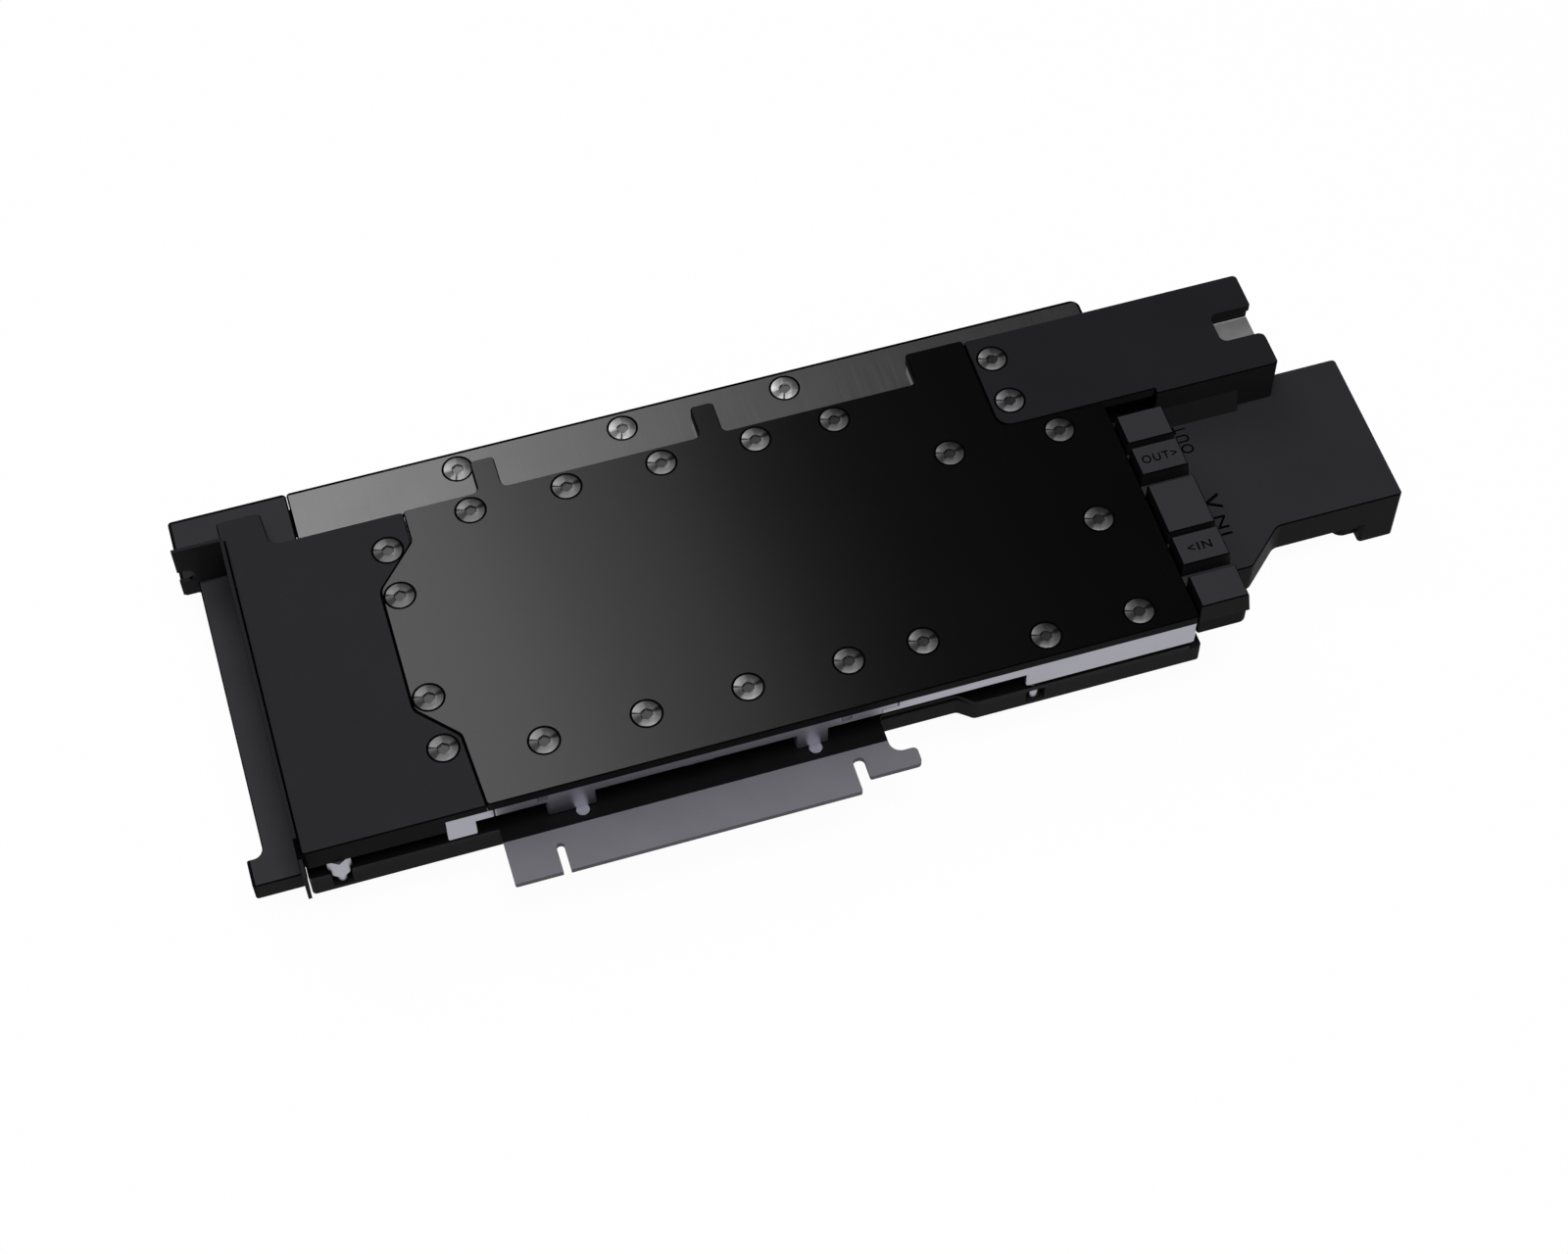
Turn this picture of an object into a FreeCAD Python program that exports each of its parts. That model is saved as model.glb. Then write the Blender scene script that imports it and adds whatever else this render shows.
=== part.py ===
"""Liquid cold plate for a full-height accelerator card, in millimetres.

Frame: the origin is on the board's component face, in the middle of the edge connector's key notch and
level with the connector's lower edge. +X runs to the power end, +Y away from the slot, +Z to the coolant.
Every piece is a function that returns its solid, and the sizes that pieces share are written once, here.
"""
import FreeCAD, Part
import math
import os

V = FreeCAD.Vector

# Board and edge connector
board_thickness = 1.6
board_left = -58.5
board_right = 161.9
board_foot = 15.5
board_top = 111.2
key_width = 1.9
key_depth = 7.6
slot_round = 0.45
short_contacts = 11.65
long_contacts = 71.65
edge_chamfer = 0.5
latch_slot = 2.9
latch_slot_top = 9.1
latch_foot = 3.2
latch_reach = 16.0
latch_top = 8.0
latch_shelf_right = 102.4
latch_shelf = 18.8
latch_shelf_run = 3.6
latch_neck = 9.9
latch_round = 1.2
latch_bend = 3.0
ear_low = 86.0
ear_high = 108.4
ear_right = 176.0

# Layers above the board, by height
chip_top = 2.4
stage_height = 0.9
block_face = 1.5
stage_length = 5.0
stage_width = 5.6
stage_columns = ((132.0, 24.0), (141.0, 24.0), (-20.0, 52.0))
stage_counts = (7, 7, 4)
stage_pitch = 7.4
choke_height = 5.0
choke_size = 7.2
choke_bevel = 0.5
choke_columns = (12.0, 97.0)
choke_start = 41.5
choke_pitch = 9.6
choke_count = 5
pad_margin = 0.3
substrate_margin = 2.5
substrate_height = 1.4
lid_inset = 3.0
flange_face = 6.5
flange_thickness = 3.0
top_plate_thickness = 2.9
cover_drop = 0.4
cover_roof = 2.5
cover_skirt = 4.9
cover_wall = 2.0
terminal_cap_height = 7.1

# Layers under the board
backplate_depth = 5.8
backplate_floor = 2.4
backplate_rim = 2.4
backplate_lap = 1.0
backplate_shy = 0.4
backplate_bend = 2.0
backplate_lobe = 1.8
backplate_lobe_gap = 1.0
stack_boss_radius = 3.8
lug_boss_radius = 3.2
shelf_round = 1.5
strip_thickness = 2.8
strip_round = 2.5
rear_reach = 16.3
shelf_gap = 0.3

# Outline of the cooled area, along X
plate_left = -14.4
flank_left = -24.9
flank_low = 46.0
flank_high = 81.6
flank_slope = 10.0
flank_rise = 1.9
flank_lean = 1.2
flank_round = 4.0
plate_right = 162.7
plate_top = 103.2
tab_top = 113.0
tab_lefts = (4.9, 62.2)
tab_width = 6.1
tab_root = 1.6
tab_corner = 1.2
tab_shy = 1.0
power_left = 135.0
power_tab_left = 119.5
power_foot = 83.6
power_round = 4.0
corner = 1.0
small_round = 0.5
seam = 0.15
edge_break = 0.3
past = 1.0

# Grey side rail between the two nickel stretches
rail_left = -12.9
rail_right = 86.2
rail_depth = 8.6
rail_foot = 0.5
rail_legs = ((-0.6, 11.3), (60.8, 68.8))
rail_hanger = (33.3, 41.0, 3.6, 1.5)
rail_lap = 82.3
rail_lap_top = 8.0
rail_finger_places = (-1.4, 73.4)
rail_finger_width = 2.2
rail_finger_height = 1.6
fit_gap = 0.15

# Screws
head_radius = 3.7
head_height = 1.9
head_rim = 0.25
head_gap = 0.05
shank_radius = 1.6
thread_gap = 0.05
hole_gap = 0.35
screw_length = 5.4
tip_gap = 0.4
head_bevel = 0.4
socket_flats = 2.6
socket_depth = 1.5
socket_turn = 15.0
far_row = 98.4
far_start = 1.7
far_pitch = 24.55
near_row = 28.6
near_start = 2.6
near_pitch = 25.1
column_x = 149.3
column_rows = (21.4, 49.9, 78.5)
lone_screws = ((96.1, 98.4), (96.7, 28.6), (120.6, 79.8), (125.4, 21.4), (-20.7, 78.8), (-20.7, 48.3))
end_cover_screw_x = -20.6
end_cover_screw_rows = (33.8, 93.0)
power_screw_x = 140.4
power_screw_rows = (91.0, 104.9)
strip_screw_start = 2.6
strip_screw_pitch = 43.7
strip_screw_row = 122.0

# Fin field, channels and seal in the cold plate
field_x = 52.0
field_y = 64.0
field_size = 46.0
fin_pitch = 1.15
fin_slot = 0.6
field_floor = 4.2
fin_clear = 0.4
channel_width = 7.0
channel_depth = 2.6
channel_bend = 3.0
pocket_bend = 1.5
channel_mouth = 4.0
outlet_y = 60.5
riser_x = 138.0
riser_radius = 2.2
passage_z = 5.2
outlet_turn_x = 108.5
seal_cord = 1.6
seal_depth = 1.3
seal_side_gap = 0.1
seal_row_gap = 3.4
seal_margin = 3.4
seal_left_margin = 15.0
seal_bend = 3.5
contact_size = 50.0

# Blocks that reach down to the board's chips
deep_left = 118.8
deep_top = 74.0
flank_block_left = -24.5
flank_block_right = -15.5
foot_block_right = -17.6
foot_block_top = 40.0
foot_block_face = 0.9
flank_block_low = 47.0
flank_block_high = 80.0
block_round = 2.0
pocket_wall = 2.0
contact_rise = 0.3

# Screws that pull the stack together, from below
stack_screws = ((15.0, 33.0), (89.0, 33.0), (15.0, 97.0), (89.0, 97.0), (150.0, 97.0), (150.0, 64.0))
stack_leg_radius = 3.0
stack_screw_shy = 1.5
stack_shank = 1.25
stack_head_radius = 2.5
stack_head_height = 1.25
head_recess = 1.45
cross_width = 0.6
cross_reach = 1.6
cross_depth = 0.7

# Studs at the board's lower edge: place, reach of the hexagon's corners, top
edge_studs_at = ((-50.8, 3.3, 4.7), (121.6, 1.8, 1.4))
stud_row = 17.9
stud_notch = 0.6
stud_lower_radius = 1.8
stud_foot = -6.2
stud_turn = 30.0
stud_gap = 0.25
post_radius = 1.6
post_row = 14.6
post_places = (7.6, 65.3)

# Bracket end
bracket_sheet = 0.9
bracket_gap = 0.2
bracket_near = 14.3
bracket_width = 18.4
bracket_low = 10.5
bracket_neck_rise = 5.0
bracket_fold = 106.2
bracket_tab = 12.1
bracket_neck = 10.2
bracket_neck_top = 19.0
tab_slot_length = 4.0
tab_slot_width = 4.2
tab_slot_z = 3.5
tab_relief = 4.0
tab_relief_z = -0.4
lug_length = 8.5
lug_width = 9.0
lug_screw_inset = 5.2
lug_screw_length = 5.0
lug_rows = (31.0, 92.0)
lobe_right = -48.6
lobe_top = 113.6
lobe_flare = 0.8
lobe_round = 1.5
lobe_root = 2.5
arm_round = 1.2
side_plate_left = -71.6
side_plate_recess = 4.2
guard_round = 0.8
side_plate_foot = 18.3
side_plate_foot_top = 25.8
side_plate_shoulder = 108.2
side_plate_arm = -41.2
tongue_reach = 8.0
tongue_middle = 120.5
tongue_width = 8.0
tongue_foot = -6.2
tongue_thickness = 1.4
strip_right = 172.6

# Terminal and manifold
terminal_gap = 0.1
terminal_width = 12.1
terminal_top = 75.3
terminal_slots = ((24.8, 3.3), (36.8, 1.3), (53.0, 3.3), (64.9, 1.5))
terminal_slot_depth = 5.0
terminal_lip = 1.0
terminal_inset = 0.6
terminal_round = 2.2
terminal_deep_top = 74.0
manifold_screw_rows = (49.0, 70.8)
manifold_screw_tip = 13.0
clamp_screw_rows = (26.3, 53.3)
clamp_screw_z = 7.2
clamp_screw_length = 18.0
clamp_head_radius = 1.9
clamp_head_depth = 2.0
manifold_depth = 10.0
manifold_shy = 1.3
manifold_near = 33.8
manifold_step = 43.3
manifold_step_left = 185.5
manifold_step_right = 195.8
manifold_right = 229.9
manifold_far = 88.5
manifold_rib = 17.6
manifold_rib_width = 9.5
manifold_rib_step = 3.6
manifold_step_depth = 2.6
manifold_round = 2.0
manifold_bend = 3.0
port_boss_wall = 4.0
port_boss_inset = 3.0
port_radius = 5.9
port_depth = 11.0
port_face_radius = 8.2
port_face_depth = 0.6
port_rows = (56.5, 76.5)
gallery_radius = 2.5
gallery_depth = 5.4
gallery_turn = 6.0
ring_cord = 1.2
ring_radius = 3.0
ring_gap = 0.1

# Power end
power_right = 209.9
power_front = 82.0
power_far = 112.4
power_wall = 2.2
hood_gap = 1.8
power_step_right = 199.5
power_step_out = 1.8
power_step_height = 6.6
power_notch_left = 198.4
power_notch_low = 92.5
power_notch_high = 101.7
notch_near_round = 2.0
notch_far_round = 0.7
notch_round = 2.0
notch_overrun = 5.0
hood_round = 1.2
power_roof = 2.2
socket_length = 19.0
socket_width = 18.8
socket_height = 9.8
socket_foot = 9.0
socket_catch = 6.4
socket_catch_height = 0.9
socket_catch_inset = 3.5
socket_tongue_drop = 4.5
socket_tongue_thickness = 0.7
socket_rows = 2
socket_columns = 4
socket_pitch = 4.2
socket_hole = 3.2
socket_hole_depth = 9.0

# Heights and edges that follow from the sizes above
flange_top = flange_face + flange_thickness
plate_face = flange_top + top_plate_thickness
cover_face = plate_face - cover_drop
board_back = -board_thickness
back_face = board_back - backplate_depth
contacts_left = -(key_width / 2 + short_contacts)
contacts_right = key_width / 2 + long_contacts
bracket_inner = board_left - bracket_gap
bracket_outer = bracket_inner - bracket_sheet
bracket_far = bracket_near - bracket_width
rear_top = board_top + rear_reach
terminal_left = plate_right + terminal_gap
terminal_right = terminal_left + terminal_width
lobe_foot = bracket_fold + bracket_sheet + bracket_gap
manifold_left = board_right + manifold_shy
manifold_top = board_back
manifold_face = manifold_top - manifold_depth
port_z = manifold_top - manifold_rib / 2
seal_low = near_row + seal_row_gap
seal_high = far_row - seal_row_gap
pocket_low = seal_low + seal_margin
pocket_high = seal_high - seal_margin
inlet_y = pocket_low + channel_width / 2
tongue_low = tongue_middle - tongue_width / 2
tongue_high = tongue_middle + tongue_width / 2
riser_end_x = (terminal_left + terminal_right) / 2
lug_screw_x = bracket_inner + lug_screw_inset
hood_left = terminal_right + hood_gap

far_screws = [(far_start + i * far_pitch, far_row) for i in range(4)]
near_screws = [(near_start + i * near_pitch, near_row) for i in range(4)]
column_screws = [(column_x, y) for y in column_rows]
plate_screws = far_screws + near_screws + column_screws + list(lone_screws)
end_cover_screws_at = [(end_cover_screw_x, y) for y in end_cover_screw_rows]
power_screws_at = [(power_screw_x, y) for y in power_screw_rows]
manifold_screws_at = [(riser_end_x, y) for y in manifold_screw_rows]
strip_screws_at = [(strip_screw_start + i * strip_screw_pitch, strip_screw_row) for i in range(3)]


def box(x0, x1, y0, y1, z0, z1):
    """A block between two corners."""
    return Part.makeBox(x1 - x0, y1 - y0, z1 - z0, V(x0, y0, z0))


def rod(x, y, z0, z1, radius):
    """An upright cylinder."""
    return Part.makeCylinder(radius, z1 - z0, V(x, y, z0))


def bar(x0, x1, y, z, radius):
    """A cylinder along X."""
    return Part.makeCylinder(radius, x1 - x0, V(x0, y, z), V(1, 0, 0))


def outline(points):
    """A closed wire through (x, y) or (x, y, radius) points, each corner rounded by its radius."""
    corners = [(V(p[0], p[1], 0), p[2] if len(p) > 2 else 0.0) for p in points]
    edges = []
    count = len(corners)
    ends = []
    for i, (at, radius) in enumerate(corners):
        before = (corners[i - 1][0] - at).normalize()
        after = (corners[(i + 1) % count][0] - at).normalize()
        if radius <= 0:
            ends.append((at, None, at))
            continue
        half = before.getAngle(after) / 2
        reach = radius / math.tan(half)
        middle = (before + after).normalize()
        centre = at + middle * (radius / math.sin(half))
        ends.append((at + before * reach, centre - middle * radius, at + after * reach))
    for i, (start, middle, end) in enumerate(ends):
        if middle is not None:
            edges.append(Part.Arc(start, middle, end).toShape())
        following = ends[(i + 1) % count][0]
        if (following - end).Length > 1e-6:
            edges.append(Part.LineSegment(end, following).toShape())
    return Part.Wire(edges)


def slab(points, z0, z1):
    """A flat piece with the given outline."""
    face = Part.Face(outline(points))
    face.translate(V(0, 0, z0))
    return face.extrude(V(0, 0, z1 - z0))


def block(x0, x1, y0, y1, radius, z0, z1):
    """A rectangular block whose upright edges are rounded."""
    return slab([(x0, y0, radius), (x1, y0, radius), (x1, y1, radius), (x0, y1, radius)], z0, z1)


def fused(shapes):
    """Several touching solids made into one."""
    first = shapes[0]
    if len(shapes) > 1:
        first = first.multiFuse(shapes[1:])
    return first.removeSplitter()


def cut(shape, tools):
    """A solid with several others taken away."""
    return shape.cut(list(tools)) if tools else shape


def broken(shape, height):
    """A piece whose outline edges at a height are chamfered."""
    near = 1e-4
    rim = [e for e in shape.Edges
           if abs(e.BoundBox.ZMin - height) < near and abs(e.BoundBox.ZMax - height) < near]
    return shape.makeChamfer(edge_break, rim)


def turned(profile):
    """A solid of revolution about Z from (radius, height) points."""
    points = [V(r, 0, z) for r, z in profile]
    face = Part.Face(Part.makePolygon(points + points[:1]))
    return Part.Solid(face.revolve(V(0, 0, 0), V(0, 0, 1), 360))


def hexagon(flats, z0, z1, turn):
    """A hexagonal prism about Z, with its first corner at an angle in degrees."""
    reach = flats / math.sqrt(3)
    turns = [math.radians(360 / 6 * i + turn) for i in range(6)]
    return slab([(reach * math.cos(a), reach * math.sin(a)) for a in turns], z0, z1)


def countersunk_screw(x, y, face):
    """A countersunk screw whose head lies just under a face, with a hexagon socket."""
    screw = turned([(0, 0), (head_radius, 0), (head_radius, -head_rim), (shank_radius, -head_height),
                    (shank_radius, -screw_length), (0, -screw_length)])
    screw = screw.cut(hexagon(socket_flats, -socket_depth, past, socket_turn))
    screw.translate(V(x, y, face - head_gap))
    return screw


def screw_seat(x, y, face, floor):
    """The hole that a countersunk screw sits in: its cone, a little wider than the head, and its bore."""
    bore = shank_radius + hole_gap
    slope = (head_height - head_rim) / (head_radius - shank_radius)
    foot = head_gap + head_rim + (head_radius - bore) * slope
    mouth = bore + (foot + past) / slope
    seat = turned([(0, past), (mouth, past), (bore, -foot), (bore, floor - face), (0, floor - face)])
    seat.translate(V(x, y, face))
    return seat


def threads(places, z0, z1, radius=shank_radius + thread_gap):
    """Tapped holes under screws."""
    return [rod(x, y, z0, z1, radius) for x, y in places]


def ring(x, y, z, axis):
    """A square-cut sealing ring, centred on a point."""
    foot = V(x, y, z) - axis * (ring_cord / 2)
    outer = Part.makeCylinder(ring_radius + ring_cord / 2, ring_cord, foot, axis)
    inner = Part.makeCylinder(ring_radius - ring_cord / 2, ring_cord, foot, axis)
    return outer.cut(inner)


def gallery(points, z, radius):
    """A drilled passage through the given points, with round ends."""
    runs = [Part.makeSphere(radius, V(x, y, z)) for x, y in points]
    for (x0, y0), (x1, y1) in zip(points, points[1:]):
        along = V(x1 - x0, y1 - y0, 0)
        runs.append(Part.makeCylinder(radius, along.Length, V(x0, y0, z), along))
    return fused(runs)


def circuit_board():
    """The card's board: body, edge connector with its key, and the retention hook."""
    neck = contacts_right + latch_neck
    reach = contacts_right + latch_reach
    slot_right = contacts_right + latch_slot
    points = [
        (board_left, board_foot, corner), (contacts_left, board_foot, small_round),
        (contacts_left, 0.0, edge_chamfer), (-key_width / 2, 0.0),
        (-key_width / 2, key_depth, key_width * slot_round),
        (key_width / 2, key_depth, key_width * slot_round), (key_width / 2, 0.0),
        (contacts_right, 0.0, edge_chamfer),
        (contacts_right, latch_slot_top, latch_slot * slot_round),
        (slot_right, latch_slot_top, latch_slot * slot_round), (slot_right, latch_foot, small_round),
        (reach, latch_foot, latch_round), (reach, latch_top, latch_round), (neck, latch_top, latch_bend),
        (neck, latch_shelf, latch_round), (latch_shelf_right, latch_shelf, backplate_bend),
        (latch_shelf_right + latch_shelf_run, board_foot, backplate_bend), (board_right, board_foot, corner),
        (board_right, ear_low, corner), (ear_right, ear_low, corner), (ear_right, ear_high, corner),
        (board_right, ear_high, corner), (board_right, board_top, corner), (board_left, board_top, corner),
    ]
    board = slab(points, board_back, 0)
    holes = threads(stack_screws, board_back - past, past, stack_shank + hole_gap)
    holes += [rod(x, stud_row, board_back - past, past, upper + stud_gap) for x, upper, top in edge_studs_at]
    holes += [rod(lug_screw_x, y, board_back - past, past, stack_shank + hole_gap) for y in lug_rows]
    return cut(board, holes)


def square(reach, radius, z0, z1):
    """A square block round the processor's centre, with rounded corners."""
    return block(field_x - reach, field_x + reach, field_y - reach, field_y + reach, radius, z0, z1)


def processor():
    """The package: substrate and lid, under the cold plate's contact face."""
    substrate = square(contact_size / 2 + substrate_margin, small_round, 0, substrate_height)
    lid = square(contact_size / 2 - lid_inset, corner, substrate_height, chip_top)
    return fused([substrate, lid])


def power_columns():
    """Centres of the small power stages, one list for each column."""
    return [[(x, start + i * stage_pitch) for i in range(count)]
            for (x, start), count in zip(stage_columns, stage_counts)]


def power_stages():
    """Flat switching stages under the deep blocks."""
    return Part.makeCompound([box(x - stage_length / 2, x + stage_length / 2, y - stage_width / 2,
                                  y + stage_width / 2, 0, stage_height)
                              for column in power_columns() for x, y in column])


def pad(column, length, width, z0, z1):
    """A soft strip over one column of parts, a little wider than they are."""
    x = column[0][0]
    low = column[0][1] - width / 2 - pad_margin
    high = column[-1][1] + width / 2 + pad_margin
    return box(x - length / 2 - pad_margin, x + length / 2 + pad_margin, low, high, z0, z1)


def power_pads():
    """Soft pads between the power stages and the deep blocks."""
    return Part.makeCompound([pad(column, stage_length, stage_width, stage_height, block_face)
                              for column in power_columns()])


def choke_rows():
    """Centres of the chokes either side of the processor, one list for each column."""
    return [[(x, choke_start + i * choke_pitch) for i in range(choke_count)] for x in choke_columns]


def power_chokes():
    """Chokes beside the processor, each with a bevelled top."""
    chokes = []
    half = choke_size / 2
    for x, y in [centre for column in choke_rows() for centre in column]:
        block = box(x - half, x + half, y - half, y + half, 0, choke_height)
        rim = [e for e in block.Edges if e.CenterOfMass.z > choke_height - choke_bevel]
        chokes.append(block.makeChamfer(choke_bevel, rim))
    return Part.makeCompound(chokes)


def choke_pads():
    """Soft pads between the chokes and the flange."""
    return Part.makeCompound([pad(column, choke_size, choke_size, choke_height, flange_face)
                              for column in choke_rows()])


def tab_points(top):
    """The far edge's tabs, from right to left, up to a given edge."""
    points = [(power_tab_left, top, corner), (power_tab_left, plate_top, tab_root)]
    for x in reversed(tab_lefts):
        points += [(x + tab_width, plate_top, tab_root), (x + tab_width, top, tab_corner),
                   (x, top, tab_corner), (x, plate_top, tab_root)]
    return points


def flank_points(shift):
    """The stepped seam between top plate and end cover, from far to near, moved along X."""
    left = plate_left - shift
    flank = flank_left - shift
    return [(left, flank_high + flank_slope + flank_rise, 2.0), (flank, flank_high, flank_round),
            (flank, flank_low, flank_round), (left - flank_lean, flank_low - flank_slope, 3.0)]


def top_plate():
    """The dark plate that closes the coolant channels, with a corner left for the power cover."""
    points = [
        (plate_left, board_foot, corner), (plate_right, board_foot, corner),
        (plate_right, power_foot - seam, corner), (power_left, power_foot - seam, power_round),
        (power_left, tab_top, corner),
    ]
    points += tab_points(tab_top) + [(plate_left, plate_top, corner)] + flank_points(0)
    plate = broken(slab(points, flange_top, plate_face), plate_face)
    return cut(plate, [screw_seat(x, y, plate_face, flange_top - past) for x, y in plate_screws])


def channel_tools():
    """What is milled from the cold plate's top: fin slots, plenums, channels and their drilled ends."""
    low = field_y - field_size / 2
    high = field_y + field_size / 2
    left = field_x - field_size / 2
    right = field_x + field_size / 2
    half = channel_width / 2
    floor = flange_top - channel_depth
    mouth = right - channel_mouth
    bend = channel_bend
    above = flange_top + past
    tools = [
        slab([(left, pocket_low, pocket_bend), (right, pocket_low, pocket_bend), (right, low), (left, low)],
             field_floor, above),
        slab([(left, high), (right, high), (right, pocket_high, pocket_bend),
              (left, pocket_high, pocket_bend)], field_floor, above),
        box(left, right, low, high, flange_top - fin_clear, above),
        slab([(mouth, inlet_y - half), (riser_x + half, inlet_y - half, bend),
              (riser_x + half, inlet_y + half, bend), (mouth, inlet_y + half)], floor, above),
        slab([(mouth, pocket_high - channel_width), (outlet_turn_x - half, pocket_high - channel_width),
              (outlet_turn_x - half, outlet_y - half, bend), (riser_x + half, outlet_y - half, bend),
              (riser_x + half, outlet_y + half, bend), (outlet_turn_x + half, outlet_y + half),
              (outlet_turn_x + half, pocket_high, bend), (mouth, pocket_high)], floor, above),
    ]
    count = int((field_size - fin_slot) / fin_pitch)
    first = field_x - count * fin_pitch / 2
    for i in range(count + 1):
        x = first + i * fin_pitch
        tools.append(box(x - fin_slot / 2, x + fin_slot / 2, low, high, field_floor, flange_top))
    for y in (inlet_y, outlet_y):
        tools.append(rod(riser_x, y, passage_z, flange_top, riser_radius))
        tools.append(bar(riser_x - riser_radius, plate_right + past, y, passage_z, riser_radius))
    return tools


def seal_path():
    """Corner points of the seal that runs round every channel, inside the screws."""
    half = channel_width / 2
    left = field_x - field_size / 2 - seal_left_margin
    right = riser_x + half + seal_margin
    turn = outlet_turn_x + half + seal_margin
    step = outlet_y + half + seal_margin
    return [(left, seal_low, seal_bend), (right, seal_low, seal_bend), (right, step, seal_bend),
            (turn, step, seal_bend), (turn, seal_high, seal_bend), (left, seal_high, seal_bend)]


def offset_path(points, distance, z):
    """A closed rounded path moved outward by a distance, as a wire at a height."""
    wire = outline(points)
    moved = wire.makeOffset2D(distance)
    moved.translate(V(0, 0, z))
    return moved


def seal_band(width, z0, z1):
    """A flat band that follows the seal's path."""
    outer = Part.Face(offset_path(seal_path(), width / 2, z0))
    inner = Part.Face(offset_path(seal_path(), -width / 2, z0))
    return outer.cut(inner).extrude(V(0, 0, z1 - z0)).Solids[0]


def main_seal():
    """The square-cut seal in the cold plate's groove."""
    return seal_band(seal_cord - 2 * seal_side_gap, flange_top - seal_depth, flange_top)


def cold_plate():
    """The nickel-plated base: flange, deep blocks, contact face, fins, channels and groove."""
    rail_back = board_foot + rail_depth + fit_gap
    points = [
        (flank_left, board_foot, small_round), (rail_left - fit_gap, board_foot, edge_break),
        (rail_left - fit_gap, rail_back, small_round), (rail_right + fit_gap, rail_back, small_round),
        (rail_right + fit_gap, board_foot, edge_break), (plate_right, board_foot, corner),
        (plate_right, tab_top - tab_shy, corner),
    ]
    points += tab_points(tab_top - tab_shy) + [(flank_left, plate_top, corner)]
    side = field_size / 2 + pocket_wall
    parts = [
        slab(points, flange_face, flange_top),
        square(contact_size / 2, block_round, chip_top, flange_face),
        block(field_x - side, field_x + side, pocket_low - pocket_wall, pocket_high + pocket_wall,
              block_round, chip_top + contact_rise, flange_face),
        block(deep_left, plate_right, board_foot, deep_top, corner, block_face, flange_face),
        block(flank_block_left, flank_block_right, flank_block_low, flank_block_high, block_round,
              block_face, flange_face),
        block(flank_left, foot_block_right, board_foot, foot_block_top, small_round,
              foot_block_face, flange_face),
        box(rail_lap + fit_gap, rail_right + past, board_foot, rail_back + past, flange_face, rail_lap_top),
    ]
    for x in rail_finger_places:
        parts.append(box(x - rail_finger_width / 2, x + rail_finger_width / 2, board_foot,
                         rail_back + past, flange_top - rail_finger_height, flange_top))
    parts += [rod(x, y, 0, flange_face, stack_leg_radius) for x, y in stack_screws]
    plate = fused(parts)
    plate = cut(plate, channel_tools())
    above = flange_top + past
    plate = plate.cut(seal_band(seal_cord, flange_top - seal_depth, above))
    tip = plate_face - screw_length - tip_gap
    holes = threads(plate_screws + power_screws_at, tip, above)
    holes += threads(end_cover_screws_at, cover_face - screw_length - tip_gap, above)
    holes += threads(stack_screws, -past, flange_face - stack_screw_shy + hole_gap, stack_shank + thread_gap)
    clamp_tip = terminal_right + terminal_lip - clamp_head_depth - clamp_screw_length
    holes += [bar(clamp_tip - hole_gap, plate_right + past, y, clamp_screw_z, stack_shank + thread_gap)
              for y in clamp_screw_rows]
    return cut(plate, holes)


def side_rail():
    """The grey rail that fills the front between the two nickel stretches, with legs to the board."""
    back = board_foot + rail_depth
    left, right, foot, inset = rail_hanger
    parts = [block(rail_left, rail_right, board_foot, back, edge_break, flange_face, flange_top),
             block(left, right, board_foot + inset, back, small_round, foot, flange_face)]
    for left, right in rail_legs:
        parts.append(block(left, right, board_foot, back, small_round, rail_foot, flange_face))
    tools = [box(x - rail_finger_width / 2 - fit_gap, x + rail_finger_width / 2 + fit_gap, board_foot - past,
                 back + past, flange_top - rail_finger_height - fit_gap, flange_top + past)
             for x in rail_finger_places]
    tools.append(box(rail_lap, rail_right + past, board_foot - past, back + past, flange_face - past,
                     rail_lap_top + fit_gap))
    return cut(fused(parts), tools)


def rail_posts():
    """Low nickel seats between the rail's legs and the board."""
    return Part.makeCompound([rod(x, post_row, 0, rail_foot, post_radius) for x in post_places])


def edge_studs():
    """Hexagonal studs, round below, that tie cold plate, board and backplate at the lower edge."""
    studs = []
    for x, upper, top in edge_studs_at:
        head = hexagon(upper * math.sqrt(3), board_back, top, stud_turn)
        head.translate(V(x, stud_row, 0))
        studs.append(fused([head, rod(x, stud_row, stud_foot, board_back, stud_lower_radius)]))
    return Part.makeCompound(studs)


def end_cover_points():
    """The bracket-end cover's outline, with its lobe at the far side."""
    right = plate_left - seam
    seam_points = flank_points(seam)
    seam_points.reverse()
    return [(board_left, board_foot, corner), (right, board_foot, small_round)] + seam_points + [
        (right, plate_top, corner), (lobe_right + lobe_flare, plate_top, lobe_root),
        (lobe_right, lobe_top, lobe_round), (bracket_outer, lobe_top, corner),
        (bracket_outer, lobe_foot, small_round), (board_left, lobe_foot),
    ]


def bracket_end_cover():
    """The matt cover beside the bracket: a roof with a skirt down to the board's parts."""
    points = end_cover_points()
    under = cover_face - cover_roof
    roof = broken(slab(points, under, cover_face), cover_face)
    skirt = slab(points, cover_skirt, under)
    flank = flank_left - seam
    left = board_left + cover_wall
    hollow = slab([
        (left, board_foot + cover_wall, corner), (flank, board_foot + cover_wall), (flank, board_foot - past),
        (plate_left + past, board_foot - past), (plate_left + past, plate_top + past),
        (flank, plate_top + past), (flank, plate_top - cover_wall), (left, plate_top - cover_wall, corner),
    ], cover_skirt - past, under)
    cover = fused([roof, skirt.cut(hollow)])
    return cut(cover, [screw_seat(x, y, cover_face, cover_skirt) for x, y in end_cover_screws_at])


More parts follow.
